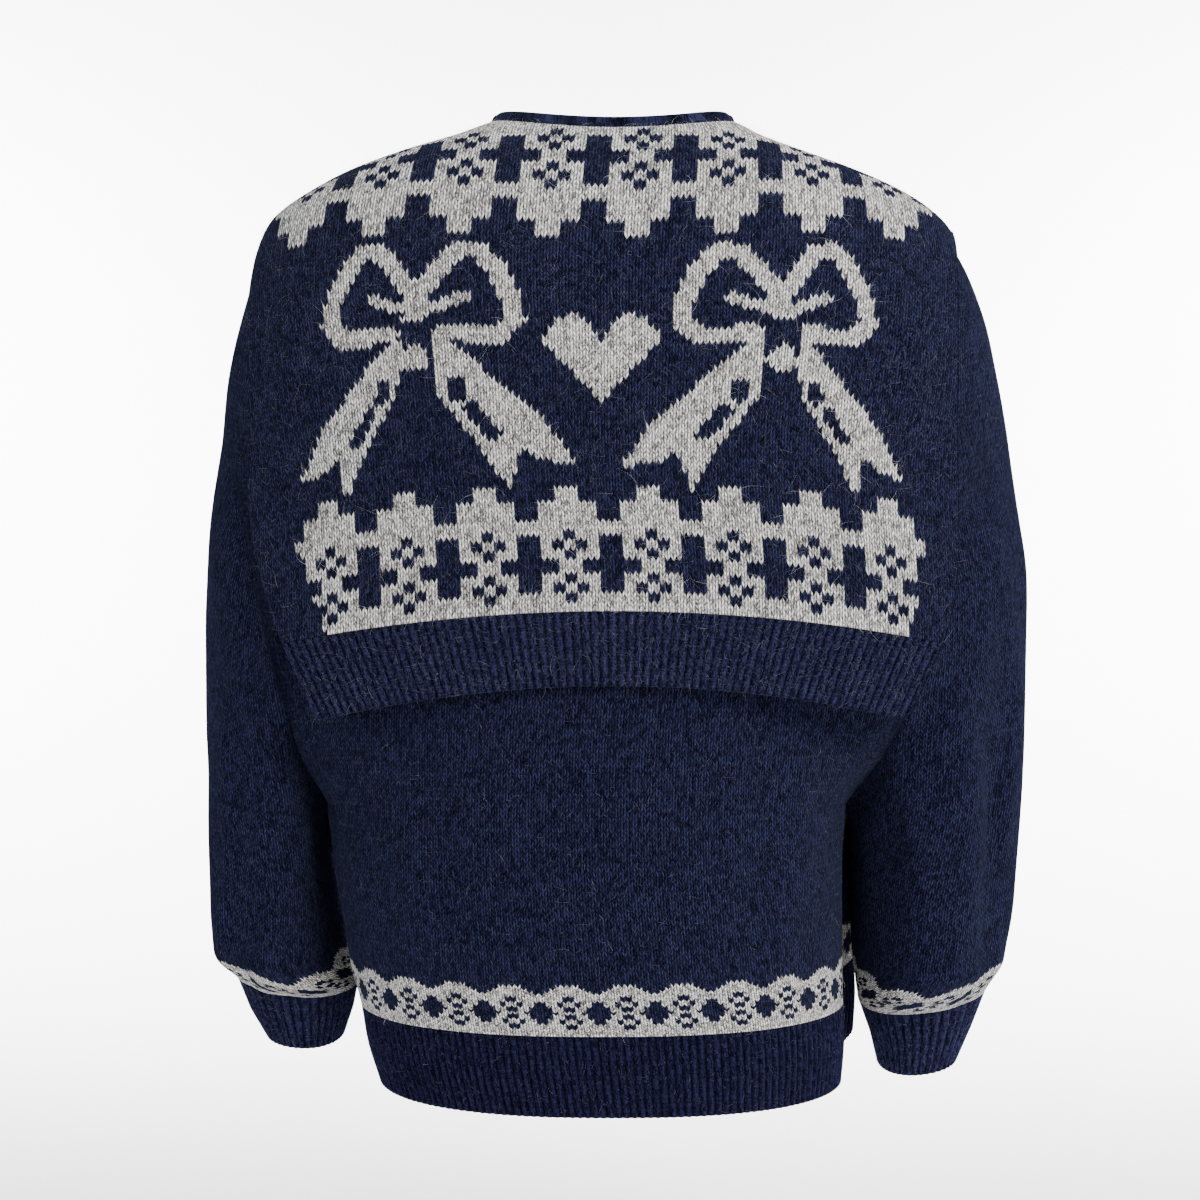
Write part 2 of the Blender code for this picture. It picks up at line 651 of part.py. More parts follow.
def neck_edge(collection, back, front, back_normals, front_normals):
    """Narrow edge knitted on all round the neck."""
    across = slice(SHOULDER_COLUMNS, SHOULDER_COLUMNS + NECK_COLUMNS + 1)
    loop = np.concatenate([back[-1, across], front[-1, across][::-1][1:-1]])
    out = np.concatenate([back_normals[-1, across], front_normals[-1, across][::-1][1:-1]])
    behind = np.arange(len(loop)) <= NECK_COLUMNS
    before, after = np.roll(loop, 1, axis=0), np.roll(loop, -1, axis=0)

    def off(edge):
        return unit(np.cross(out, edge))
    first, second = off(loop - before), off(after - loop)
    if (first[NECK_COLUMNS // 2] * np.array([0, -1, 1])).sum() < 0:
        first, second = -first, -second
    cosine = np.clip((first * second).sum(axis=1, keepdims=True), -0.2, 1)
    mitred = (first + second) / (1 + cosine)
    mitred = mitred + np.array([0, 0, 0.5]) * behind[:, None]
    heights = np.array([SEAM_GAP * 0.75, NECK_EDGE_HEIGHT / 2, NECK_EDGE_HEIGHT])
    grid = loop[None] + mitred[None] * heights[:, None, None]
    outside = grid + out[None] * 1.5 * MM
    inside = grid - out[None] * 1.5 * MM
    index = np.arange(grid.shape[0] * grid.shape[1]).reshape(grid.shape[:2])
    return cloth_object(collection, "neck_edge", outside.reshape(-1, 3), inside.reshape(-1, 3),
                        grid_quads(index, True), DEEP_NAVY)


def build():
    for item in list(bpy.data.objects):
        bpy.data.objects.remove(item, do_unlink=True)
    collection = bpy.data.collections.new("jacquard_sweater")
    bpy.context.scene.collection.children.link(collection)

    back, front = panel(+1), panel(-1)
    sleeves = {side: sleeve(side, back, front, sizes)
               for side, sizes in ((+1, LEFT_SLEEVE), (-1, RIGHT_SLEEVE))}
    cuffs = {side: cuff(side, sleeves[side][-1], sizes)
             for side, sizes in ((+1, LEFT_CUFF), (-1, RIGHT_CUFF))}
    places = np.linspace(0, 1, PANEL_COLUMNS + 1)
    hem_rows = []
    for drop in (HEM_SEAM_DROP, (HEM_SEAM_DROP + HEM_DROP) / 2, HEM_DROP):
        behind, before = body_point(places, drop, +1), body_point(places, drop, -1)
        hem_rows.append(np.concatenate([behind, before[::-1][1:-1]]))
    hem = np.stack(hem_rows)

    def faces_of(grid, closed, turned):
        index = np.arange(grid.shape[0] * grid.shape[1]).reshape(grid.shape[:2])
        quads = grid_quads(index, closed)
        return grid.reshape(-1, 3), [quad[::-1] for quad in quads] if turned else quads

    body = [faces_of(back, False, False), faces_of(front, False, True), faces_of(hem, True, True)]
    arms = {side: [faces_of(sleeves[side], True, side > 0), faces_of(cuffs[side], True, side > 0)]
            for side in (+1, -1)}
    joined = shared_normals(body + arms[+1] + arms[-1])
    back_normals, front_normals, hem_normals = [blended(own, other, grid) for own, other, grid in
                                                zip(shared_normals(body), joined, (back, front, hem))]
    shifts = parted_at_armholes(back, front, sleeves)
    flat_cloth(collection, "back", back, shifts["back"], back_normals, False, NAVY)
    flat_cloth(collection, "front", front, shifts["front"], front_normals, False, NAVY)
    for side, name, first in ((+1, "left", 3), (-1, "right", 5)):
        arm = (sleeves[side], cuffs[side])
        sleeve_normals, cuff_normals = [blended(own, other, grid) for own, other, grid in
                                        zip(shared_normals(arms[side]), joined[first:], arm)]
        flat_cloth(collection, "sleeve_" + name, arm[0], shifts[side], sleeve_normals, True, NAVY)
        ribbed_cloth(collection, "cuff_" + name, arm[1], cuff_normals, True, CUFF_POINTS, DEEP_NAVY)
    ribbed_cloth(collection, "hem_rib", hem, hem_normals, True, HEM_POINTS, DEEP_NAVY)
    neck_edge(collection, back, front,
              back_normals.reshape(back.shape), front_normals.reshape(front.shape))

    points, quads, behind = collar()
    rib = collar_rib(behind)
    sheet_normals, rib_normals = shared_normals([(points, [quad[::-1] for quad in quads]),
                                                 faces_of(rib, False, True)])
    drops = np.clip(-points[:, 2] / COLLAR_DROP, 0, 1)[:, None]
    lift = COLLAR_CLEARANCE + COLLAR_FLARE * drops ** 3 * (points[:, 1:2] > 0)
    under = points + sheet_normals * lift
    cloth_object(collection, "collar", under + sheet_normals * WALL, under, quads, NAVY)
    rib_drops = np.clip(-rib[..., 2:3] / COLLAR_DROP, 0, 1)
    rib_lift = COLLAR_CLEARANCE + COLLAR_FLARE * rib_drops ** 3 + WALL
    ribbed_cloth(collection, "collar_rib", rib, rib_normals, False, COLLAR_RIB_POINTS, DEEP_NAVY,
                 lift=rib_lift)


build()
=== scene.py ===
import math

import bpy
import numpy as np
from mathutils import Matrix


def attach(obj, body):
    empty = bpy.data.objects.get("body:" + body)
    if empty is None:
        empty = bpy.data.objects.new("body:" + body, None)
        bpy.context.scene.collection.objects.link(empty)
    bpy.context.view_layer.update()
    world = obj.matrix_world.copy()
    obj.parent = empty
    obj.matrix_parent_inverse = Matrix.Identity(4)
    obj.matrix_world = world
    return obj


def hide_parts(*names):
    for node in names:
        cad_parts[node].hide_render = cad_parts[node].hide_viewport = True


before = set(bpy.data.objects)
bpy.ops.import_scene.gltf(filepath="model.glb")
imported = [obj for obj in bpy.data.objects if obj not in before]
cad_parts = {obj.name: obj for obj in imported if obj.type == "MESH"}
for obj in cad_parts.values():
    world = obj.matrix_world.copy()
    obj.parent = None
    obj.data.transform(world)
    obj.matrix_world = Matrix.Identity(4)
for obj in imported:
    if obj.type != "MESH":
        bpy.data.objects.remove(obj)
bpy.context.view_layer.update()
scene = bpy.context.scene
mm = 0.001
rng = np.random.default_rng(11)

# sizes of the cloth, in metres
stitchWidth = 3.5 * mm
rowHeight = 3.0 * mm
borderRow = 1.55 * mm  # rows are lower in the small borders
collarStitch = 3.55 * mm
collarCourse = 2.9 * mm
clothDepth = 1.9 * mm
fineness = 4  # surface samples for each column of the solids
panelCount, shoulderCount, neckCount = 28 * fineness, 9 * fineness, 10 * fineness
sleeveCount = 24 * fineness
sleeveLevels = 90
ribRelief = 1.3 * mm
ribSteps = 6  # columns across one rib and its furrow
edgeRadius = 0.62 * clothDepth
liningRows, liningColumns = 4, 2  # a lining keeps one surface sample in so many

# heights are drops under the neck
underarm = 458 * mm
hemSeam = 588 * mm
hemEnd = 640 * mm
neckPoint = 10 * mm
backNeck = 24 * mm
frontNeck = 198 * mm
shoulderPoint = 216 * mm
collarClearance = 2.0 * mm
collarFlare = 5.0 * mm
collarWall = 2.4 * mm
ribTop, ribTopRise = 351 * mm, 20 * mm
collarEnd, collarEndRise = 397 * mm, 22 * mm
bodyRound, sleeveRound = 2.4, 2.2
frontLift, middleLift = 16 * mm, 6 * mm
underarmHollow = 0.45
neckBend = 1.15
foldEnds = 0.2  # share of a sleeve's length over which a fold sets in


def table(columns, *rows):
    return dict(zip(columns.split(), np.array(rows, dtype=float).T * mm))


def read(sizes, column, position):
    # smooth value at a position along the first column
    keys = next(iter(sizes.values()))
    values = sizes[column]
    slopes = np.gradient(values, keys)
    position = np.clip(position, keys[0], keys[-1])
    low = np.clip(np.searchsorted(keys, position) - 1, 0, len(keys) - 2)
    width = keys[low + 1] - keys[low]
    t = (position - keys[low]) / width
    ends = (2 * t**3 - 3 * t**2 + 1) * values[low] + (3 * t**2 - 2 * t**3) * values[low + 1]
    bends = (t**3 - 2 * t**2 + t) * slopes[low] + (t**3 - t**2) * slopes[low + 1]
    return ends + bends * width


yoke = table(
    "drop left right back front",
    (0, 58, 56, 22, 22),
    (5, 71, 68, 32, 31),
    (10, 85, 82, 41, 39),
    (20, 110, 100, 53, 49),
    (32, 148, 130, 65, 59),
    (44, 179, 162, 74, 67),
    (57, 203, 191, 82, 74),
    (72, 224, 213, 90, 81),
    (95, 236, 229, 97, 89),
    (135, 249, 246, 106, 98),
    (175, 258, 255, 112, 104),
    (216, 262, 262, 116, 108),
    (330, 272, 271, 122, 114),
    (458, 275, 272, 124, 116),
)
body = table(
    "drop left right back front",
    (458, 190.5, 153, 124, 116),
    (497, 188, 152.5, 125, 117),
    (530, 182.5, 152.5, 126, 117),
    (563, 176.5, 152.5, 127, 117),
    (588, 170, 153, 126, 116),
    (612, 166, 154, 122, 113),
    (640, 157.5, 152, 116, 108),
)
armhole = table(
    "step left left_drop right right_drop",
    (0, 190.5, 458, 153, 458),
    (100, 203, 430, 168, 432),
    (250, 209, 392, 183, 392),
    (500, 221.5, 341, 198, 337),
    (700, 233.5, 290, 211, 287),
    (850, 243, 252, 231, 251),
    (930, 252, 231, 247, 230),
    (1000, 262, 216, 262, 216),
)
collarEdge = table(
    "drop left right",
    (82, 231, 220),
    (120, 234, 217),
    (170, 235, 214),
    (210, 231, 212),
    (270, 227, 211),
    (300, 221, 210),
    (325, 213, 207),
    (351, 203, 199),
    (397, 180, 176),
)
flapEdge = table(
    "step out drop",
    (0, 231, 82),
    (300, 196, 132),
    (600, 124, 180),
    (850, 52, 214),
    (1000, 9, 232),
)
sleeveColumns = "outer_drop outer inner_drop inner back front dip forward"
sleeveSizes = {
    +1: table(
        sleeveColumns,
        (262, 268.5, 472, 197, 77, 70, 0, 2),
        (300, 272, 485, 196, 76, 70, 0, 5),
        (350, 274.5, 499, 194, 73, 68, 2, 10),
        (400, 275, 515, 191.5, 71, 65, 4, 14),
        (450, 274.5, 533, 188.5, 69, 62, 6, 18),
        (500, 273.5, 550, 185, 68, 61, 8, 20),
        (535, 271.5, 563, 182, 69, 60, 9, 21),
        (556, 267, 573, 179.5, 66, 56, 9, 22),
        (577, 258, 585, 176, 43, 38, 6, 22),
    ),
    -1: table(
        sleeveColumns,
        (262, 268, 472, 160, 84, 77, 0, 2),
        (300, 272, 485, 159, 83, 76, 0, 3),
        (350, 272.5, 499, 158.5, 79, 73, 2, 5),
        (400, 271, 515, 159, 76, 70, 4, 6),
        (450, 269.5, 533, 160, 73, 67, 6, 7),
        (500, 266, 552, 161.5, 71, 64, 6, 8),
        (540, 262.5, 568, 162.5, 70, 62, 6, 9),
        (560, 259.5, 580, 164, 67, 58, 6, 9),
        (582, 251.5, 596, 166, 45, 40, 5, 10),
    ),
}
cuffSizes = {
    +1: table(
        sleeveColumns,
        (598, 250, 603, 179.5, 39, 35, 5, 23),
        (619, 238, 622, 186, 36, 32, 3, 24),
    ),
    -1: table(
        sleeveColumns,
        (607, 242.5, 618, 174, 40, 36, 4, 12),
        (633, 232, 640, 179.5, 36, 32, 2, 14),
    ),
}
bodyFolds = [
    dict(face=+1, place=1.00, width=0.045, out=-6 * mm, top=440 * mm, full=520 * mm),
    dict(face=-1, place=1.00, width=0.045, out=-6 * mm, top=440 * mm, full=520 * mm),
    dict(face=-1, place=0.885, width=0.045, out=25 * mm, top=430 * mm, full=480 * mm),
    dict(face=+1, place=0.00, width=0.050, out=-2.5 * mm, top=440 * mm, full=520 * mm),
    dict(face=-1, place=0.00, width=0.050, out=-2.5 * mm, top=440 * mm, full=520 * mm),
]
sleeveFolds = [
    dict(side=+1, turn=0.105, width=0.035, out=3.5 * mm, start=0.35, end=1.10),
    dict(side=+1, turn=0.175, width=0.040, out=-3.5 * mm, start=0.45, end=1.10),
    dict(side=+1, turn=0.300, width=0.050, out=-3.0 * mm, start=0.15, end=0.70),
    dict(side=-1, turn=0.085, width=0.030, out=5.0 * mm, start=0.05, end=1.00),
    dict(side=-1, turn=0.160, width=0.040, out=-4.5 * mm, start=0.10, end=1.05),
    dict(side=-1, turn=0.280, width=0.050, out=3.0 * mm, start=0.30, end=0.95),
    dict(side=-1, turn=0.360, width=0.040, out=-3.0 * mm, start=0.20, end=0.80),
    dict(side=+1, turn=0.720, width=0.050, out=-3.0 * mm, start=0.20, end=0.80),
    dict(side=-1, turn=0.740, width=0.050, out=-3.0 * mm, start=0.20, end=0.80),
]


def ease(value, start, end):
    t = np.clip((value - start) / (end - start), 0, 1)
    return t * t * (3 - 2 * t)


def bump(value, centre, width):
    return np.exp(-((value - centre) / width) ** 2)


def unit(ways):
    return ways / np.maximum(np.linalg.norm(ways, axis=-1, keepdims=True), 1e-12)


def section(turn, roundness):
    c, s = np.cos(turn), np.sin(turn)
    return np.sign(c) * abs(c) ** (2 / roundness), np.sign(s) * abs(s) ** (2 / roundness)


def at(line, shares):
    keys = np.linspace(0, 1, len(line))
    return np.stack([np.interp(shares, keys, line[:, k]) for k in range(line.shape[1])], axis=-1)


def evenly(points, count, bendLength=0.0, carried=None):
    carried = points if carried is None else carried
    ways = np.diff(points, axis=0)
    steps = np.linalg.norm(ways, axis=1)
    ways = ways / np.maximum(steps, 1e-9)[:, None]
    bends = np.linalg.norm(np.diff(ways, axis=0), axis=1)
    steps = steps + bendLength * (np.append(bends, 0) + np.append(0, bends)) / 2
    along = np.concatenate([[0], np.cumsum(steps)])
    wanted = np.linspace(0, along[-1], count + 1)
    return np.stack([np.interp(wanted, along, carried[:, k]) for k in range(carried.shape[1])], axis=-1)


def yokePoint(x, drop, face):
    half = np.where(x > 0, read(yoke, "left", drop), read(yoke, "right", drop))
    share = np.clip(1 - (abs(x) / half) ** bodyRound, 0, None) ** (1 / bodyRound)
    depth = read(yoke, "back" if face > 0 else "front", drop)
    return np.stack([x, face * depth * share, -drop], axis=-1)


def divided(flat, face, count):
    return evenly(yokePoint(flat[:, 0], flat[:, 1], face), count, carried=flat)


def bodyPoint(place, drop, face):
    left, right = read(body, "left", drop), read(body, "right", drop)
    across, deep = section(math.pi * place, bodyRound)
    x = across * (left + right) / 2
    y = face * deep * read(body, "back" if face > 0 else "front", drop)
    out = 0 * place
    for fold in bodyFolds:
        if fold["face"] == face:
            reach = ease(drop, fold["top"], fold["full"])
            out = out + fold["out"] * reach * bump(place, fold["place"], fold["width"])
    grown = 1 + out * ease(drop, underarm, underarm + 30 * mm) / np.hypot(x, y)
    lift = 0 * place
    if face < 0:
        lift = frontLift * ease(place, 0.40, 0.85) * ease(place, 1.0, 0.86)
        lift = lift + middleLift * np.sin(math.pi * place) ** 2
    lift = lift * ease(drop, underarm, hemSeam)
    return np.stack([(left - right) / 2 + x * grown, y * grown, lift - drop], axis=-1)


def neckLine(face):
    left, right = read(yoke, "left", neckPoint), read(yoke, "right", neckPoint)
    x = np.linspace(left, -right, 321)
    across = np.where(x > 0, x / left, -x / right)
    if face > 0:
        drop = neckPoint + (backNeck - neckPoint) * (1 - across**2)
    else:
        drop = neckPoint + (frontNeck - neckPoint) * (1 - across) ** neckBend
    return np.stack([x, drop], axis=-1)


def topLine(face, lowest):
    sides = []
    for side, name in ((+1, "left"), (-1, "right")):
        drops = np.linspace(lowest, neckPoint, 320)
        sides.append(evenly(np.stack([side * read(yoke, name, drops), drops], axis=-1), shoulderCount))
    return np.concatenate([sides[0], divided(neckLine(face), face, neckCount)[1:], sides[1][::-1][1:]])


def filled(bottom, top, left, right, rows, columns):
    # points inside four edge lines
    r, c = rows[:, None, None], columns[None, :, None]
    low, high = at(bottom, columns)[None], at(top, columns)[None]
    near, far = at(left, rows)[:, None], at(right, rows)[:, None]
    lowCorners = (1 - c) * low[:, :1] + c * low[:, -1:]
    highCorners = (1 - c) * high[:, :1] + c * high[:, -1:]
    corners = (1 - r) * lowCorners + r * highCorners
    return (1 - r) * low + r * high + (1 - c) * near + c * far - corners


def shoulderColumns():
    # true for the columns that end at a shoulder, not at the neck
    columns = np.arange(panelCount + 1)
    return np.minimum(columns, panelCount - columns) <= shoulderCount


def panelSurface(face):
    places = np.linspace(0, 1, panelCount + 1)
    lower = [bodyPoint(places, drop, face) for drop in np.linspace(hemSeam, underarm, 50)[:-1]]
    foot = bodyPoint(places, underarm, face)
    steps = np.linspace(0, 1, 240)
    sides = [np.stack([side * read(armhole, name, steps), read(armhole, name + "_drop", steps)], axis=-1)
             for side, name in ((+1, "left"), (-1, "right"))]
    climb = 1 - (1 - steps) ** 2
    flat = filled(foot[:, [0, 2]] * [1, -1], topLine(face, shoulderPoint), sides[0], sides[1],
                  climb, places)
    points = yokePoint(flat[..., 0], flat[..., 1], face)
    inside = ease(np.minimum(places, 1 - places), 0, 0.2)
    hollow = np.sin(math.pi / 2 * np.minimum(1, climb / underarmHollow))
    leaving = hollow[:, None] ** (0.7 + 0.6 * inside)[None]
    points[..., 1] = leaving * points[..., 1] + (1 - leaving) * foot[:, 1]
    points[-1, shoulderColumns(), 1] = 0
    return np.concatenate([np.array(lower), points]), len(lower)


def ring(sizes, row, side, turn):
    out, deep = section(turn, sleeveRound)
    half = [(sizes["outer"][row] + sign * sizes["inner"][row]) / 2 for sign in (1, -1)]
    drop = [(sizes["outer_drop"][row] + sign * sizes["inner_drop"][row]) / 2 for sign in (1, -1)]
    depth = np.where(deep > 0, sizes["back"][row], sizes["front"][row])
    return np.stack([side * (half[0] + half[1] * out), depth * deep - sizes["forward"][row],
                     -(drop[0] + drop[1] * out + sizes["dip"][row] * deep)], axis=-1)


def sleeveSurface(side, back, front, firstRow):
    # lines from the armhole to the cuff seam; turn 0 is the outer line
    edge = 0 if side > 0 else -1
    halves = [evenly(panel[firstRow:, edge], sleeveCount // 2, 0.12) for panel in (back, front)]
    first = np.concatenate([halves[0][::-1], halves[1][1:-1]])
    turns = np.arange(sleeveCount) / sleeveCount
    sizes = sleeveSizes[side]
    lower = [ring(sizes, row, side, 2 * math.pi * turns) for row in range(len(sizes["outer"]))]
    rings = np.array([first] + lower)
    run = np.cumsum(np.linalg.norm(np.diff(rings, axis=0), axis=-1), axis=0)
    keys = np.concatenate([np.zeros((1, sleeveCount)), run])
    grid = np.zeros((sleeveLevels, sleeveCount, 3))
    for k in range(sleeveCount):
        wanted = np.linspace(0, keys[-1, k], sleeveLevels)
        for axis in range(3):
            grid[:, k, axis] = read({"key": keys[:, k], "value": rings[:, k, axis]}, "value", wanted)
    steps = np.linspace(0, 1, sleeveLevels)[:, None]
    out = 0 * steps * turns
    for fold in sleeveFolds:
        if fold["side"] == side:
            reach = ease(steps, fold["start"], fold["start"] + foldEnds)
            reach = reach * ease(steps, fold["end"], fold["end"] - foldEnds)
            out = out + fold["out"] * reach * bump(turns[None], fold["turn"], fold["width"])
    held = ease(steps, 0, 0.1) * ease(steps, 1, 0.9)
    return grid + unit(grid - grid.mean(axis=1, keepdims=True)) * (out * held)[..., None]


def collarRow(drop, rise):
    left, right = read(collarEdge, "left", drop), read(collarEdge, "right", drop)
    across = np.linspace(1, -1, 320)
    x = (left - right) / 2 + (left + right) / 2 * across
    return divided(np.stack([x, drop - rise * (1 - across**2)], axis=-1), +1, panelCount)


def offYoke(points, face, distance):
    # moves points of the yoke straight out of it
    def inside(p):
        half = np.where(p[..., 0] > 0, read(yoke, "left", -p[..., 2]), read(yoke, "right", -p[..., 2]))
        depth = read(yoke, "back" if face > 0 else "front", -p[..., 2])
        return (abs(p[..., 0]) / half) ** bodyRound + (abs(p[..., 1]) / depth) ** bodyRound
    step = 0.3 * mm
    slope = [inside(points + step * way) - inside(points - step * way) for way in np.eye(3)]
    return points + unit(np.stack(slope, axis=-1)) * distance[..., None]


def collarSurface():
    start = collarEdge["drop"][0]
    top = topLine(+1, start)
    top[0, 0], top[-1, 0] = collarEdge["left"][0], -collarEdge["right"][0]
    steps = np.linspace(0, 1, 240)
    drops = start + (ribTop - start) * steps
    sides = [np.stack([side * read(collarEdge, name, drops), drops], axis=-1)
             for side, name in ((+1, "left"), (-1, "right"))]
    places = np.linspace(0, 1, panelCount + 1)
    flat = filled(top, collarRow(ribTop, ribTopRise), sides[0], sides[1], steps**2, places)
    points = yokePoint(flat[..., 0], flat[..., 1], +1)
    ridge = shoulderColumns()
    points[0, ridge, 1] = 0
    return points, points[0, ridge]


def flapSurface(side, shoulder):
    # one front end: first column is the outer edge, last the neck
    halfNeck = read(yoke, "left" if side > 0 else "right", neckPoint)
    steps = np.linspace(0, 1, 200)
    wide = abs(shoulder[0, 0]) / flapEdge["out"][0]
    outer = np.stack([wide * read(flapEdge, "out", steps), read(flapEdge, "drop", steps)], axis=-1)
    across = 1 - 0.965 * steps
    neckDrop = neckPoint + (frontNeck - neckPoint) * (1 - across) ** neckBend
    neck = np.stack([halfNeck * across, neckDrop], axis=-1)
    flat = filled(np.abs(shoulder[:, [0, 2]]), np.stack([outer[-1], neck[-1]]), outer, neck,
                  steps**1.6, np.linspace(0, 1, len(shoulder)))
    points = yokePoint(side * flat[..., 0], flat[..., 1], -1)
    points[0] = shoulder
    return points


def collarLift(points):
    share = np.clip(-points[..., 2] / collarEnd, 0, 1)
    return collarClearance + collarWall + collarFlare * share**3 * (points[..., 1] > 0)


# soft creases: where (x, z), which way they run in degrees, length, width and height out of the cloth
creases = {
    "back": [
        (0.128, -0.500, 84, 0.080, 0.010, 2.6), (0.106, -0.480, 80, 0.085, 0.011, -2.4),
        (-0.112, -0.498, 98, 0.085, 0.010, 2.6), (-0.090, -0.470, 96, 0.090, 0.012, -2.2),
        (0.030, -0.520, 4, 0.090, 0.012, 1.6), (-0.040, -0.548, -3, 0.080, 0.010, -1.6),
        (0.060, -0.566, 2, 0.070, 0.008, 1.6), (-0.010, -0.470, 88, 0.080, 0.016, 1.6),
        (0.194, -0.467, 90, 0.016, 0.008, 2.2), (-0.158, -0.467, 90, 0.016, 0.008, 2.2),
    ],
    "front": [
        (0.110, -0.480, 82, 0.085, 0.012, 3.0), (-0.090, -0.470, 97, 0.090, 0.012, 3.0),
        (0.060, -0.500, 76, 0.090, 0.013, -3.0), (-0.040, -0.450, 104, 0.100, 0.014, -2.6),
        (0.000, -0.555, 3, 0.090, 0.010, 2.4), (0.150, -0.400, 60, 0.080, 0.012, -3.0),
        (-0.150, -0.390, 120, 0.080, 0.012, -3.0), (0.020, -0.360, 90, 0.110, 0.018, 2.0),
        (0.186, -0.479, 88, 0.036, 0.011, 6.0), (0.197, -0.470, 90, 0.020, 0.008, 1.6),
        (-0.157, -0.475, 92, 0.035, 0.013, 4.5),
    ],
    "sleeveLeft": [
        (0.252, -0.480, 92, 0.130, 0.007, 4.2), (0.238, -0.500, 88, 0.120, 0.008, -3.6),
        (0.222, -0.455, 100, 0.080, 0.009, 2.4), (0.232, -0.560, 8, 0.040, 0.007, 2.6),
        (0.205, -0.530, 94, 0.070, 0.008, -2.2), (0.262, -0.400, 96, 0.080, 0.008, -2.0),
        (0.196, -0.467, 90, 0.018, 0.006, 1.4),
    ],
    "sleeveRight": [
        (-0.258, -0.420, 92, 0.130, 0.007, 4.4), (-0.244, -0.470, 88, 0.120, 0.008, -4.0),
        (-0.226, -0.440, 80, 0.090, 0.009, 2.6), (-0.205, -0.500, 86, 0.080, 0.009, -2.6),
        (-0.220, -0.565, -10, 0.045, 0.007, 2.8), (-0.188, -0.470, 84, 0.060, 0.008, 2.0),
        (-0.160, -0.475, 90, 0.030, 0.008, 1.6), (-0.158, -0.467, 90, 0.018, 0.006, 2.2),
    ],
    "collar": [
        (0.165, -0.270, 82, 0.080, 0.014, 1.8), (-0.150, -0.280, 98, 0.080, 0.014, 1.8),
        (0.080, -0.300, 88, 0.070, 0.016, -1.5), (-0.060, -0.310, 92, 0.070, 0.016, -1.5),
        (0.010, -0.200, 3, 0.120, 0.020, 1.0), (0.205, -0.190, 94, 0.080, 0.012, 1.8),
        (-0.190, -0.180, 86, 0.080, 0.012, 1.6),
    ],
}


def normalsOf(surface, outward):
    along = np.gradient(surface, axis=0)
    across = np.gradient(surface, axis=1)
    found = unit(np.cross(along, across))
    sign = np.sign((found * outward(surface)).sum(axis=-1).mean())
    return found * sign


def creased(surface, normals, name):
    out = np.zeros(surface.shape[:2])
    for x, z, turn, length, width, height in creases[name]:
        c, s = math.cos(math.radians(turn)), math.sin(math.radians(turn))
        dx, dz = surface[..., 0] - x, surface[..., 2] - z
        run, over = dx * c + dz * s, dz * c - dx * s
        over = over + 0.15 * run**2 / length  # no crease is quite straight
        out = out + height * mm * np.exp(-(run / length) ** 2 * 2 - (over / width) ** 2)
    return surface + normals * out[..., None]


# charts: # is the pale yarn, rows are written from the top down
laceChart = """
.....####.....
.....####.....
.....####.....
..##########..
..##########..
..##########..
..##########..
##############
##############
######..######
..####..####..
..##..##..##..
..##..##..##..
..####..####..
..####..####..
.....####.....
.....####.....
.....####.....
..####..####..
..####..####..
..##..##..##..
..##..##..##..
######..######
######..######
##############
##############
"""
scallopChart = """
...####...
..######..
.########.
##########
####..####
####..####
.##.##.##.
.##.##.##.
..##..##..
..##..##..
...####...
..##..##..
..##..##..
.##.##.##.
.##.##.##.
####..####
####..####
##########
##########
##########
"""


def chartRows(text):
    rows = [[letter == "#" for letter in line] for line in text.split()]
    return np.array(rows[::-1], dtype=float)


lace = chartRows(laceChart)
upperBorder = 80  # first row of the collar's upper border
scallop = chartRows(scallopChart)


def nearStroke(x, y, points, reach):
    # inside a band of that half width along a line of points
    points = np.array(points, dtype=float)
    found = np.zeros(np.broadcast(x, y).shape, dtype=bool)
    for a, b in zip(points[:-1], points[1:]):
        way = b - a
        t = np.clip(((x - a[0]) * way[0] + (y - a[1]) * way[1]) / (way @ way), 0, 1)
        found |= np.hypot(x - a[0] - t * way[0], y - a[1] - t * way[1]) < reach
    return found


def insideShape(x, y, points):
    found = np.zeros(np.broadcast(x, y).shape, dtype=bool)
    for a, b in zip(points, points[1:] + points[:1]):
        if a[1] != b[1]:
            crosses = (y < a[1]) != (y < b[1])
            found ^= crosses & (x < a[0] + (y - a[1]) * (b[0] - a[0]) / (b[1] - a[1]))
    return found


def bow(across, up, lean):
    # a plain ribbon bow, in stitches across and up from its knot; its tails lean towards lean
    x = abs(across)
    loopX = x * np.where(across * lean > 0, 0.94, 1.06)
    tailX = x * np.where(across * lean > 0, 0.86, 1.16)
    loop = [(0.6, 5), (3.6, 9.4), (6.8, 14), (10.4, 14.6), (13.4, 10.6), (16, 4), (16.6, -0.6),
            (13.6, -4), (4.6, -3.6)]
    shape = nearStroke(loopX, up, loop, 1.75)
    shape |= (x < 2.2) & (up > -1) & (up < 7)
    shape |= nearStroke(loopX, up, [(0, 1.2), (4, 2.2), (8.4, 4)], 1.1)
    shape |= nearStroke(x, up, [(0, -7.6), (0.9, -9.6)], 1.7)
    tail = [(3.4, -3.6), (6.4, -6.4), (12, -13), (19.6, -22), (24.6, -31.5), (18.4, -30), (16.2, -27.6),
            (14.2, -36.4), (9.6, -26.4), (4.0, -17.2), (2.6, -9)]
    slits = nearStroke(tailX, up, [(6.3, -14.6), (6.7, -16.6)], 1.5)
    slits |= nearStroke(tailX, up, [(8.8, -19.6), (12, -24.6)], 1.25)
    return shape | (insideShape(tailX, up, tail) & ~slits)


def heart(across, up):
    x, y = abs(across) / 10.4, up / 9.4
    return (y < 0.94 - 2.5 * (x - 0.5) ** 2) & (y > 1.38 * x - 1.06)


def widerAbove(row):
    # the cloth is stretched over the shoulder blades
    return 1 + 0.12 * ease(row, 24, 84)


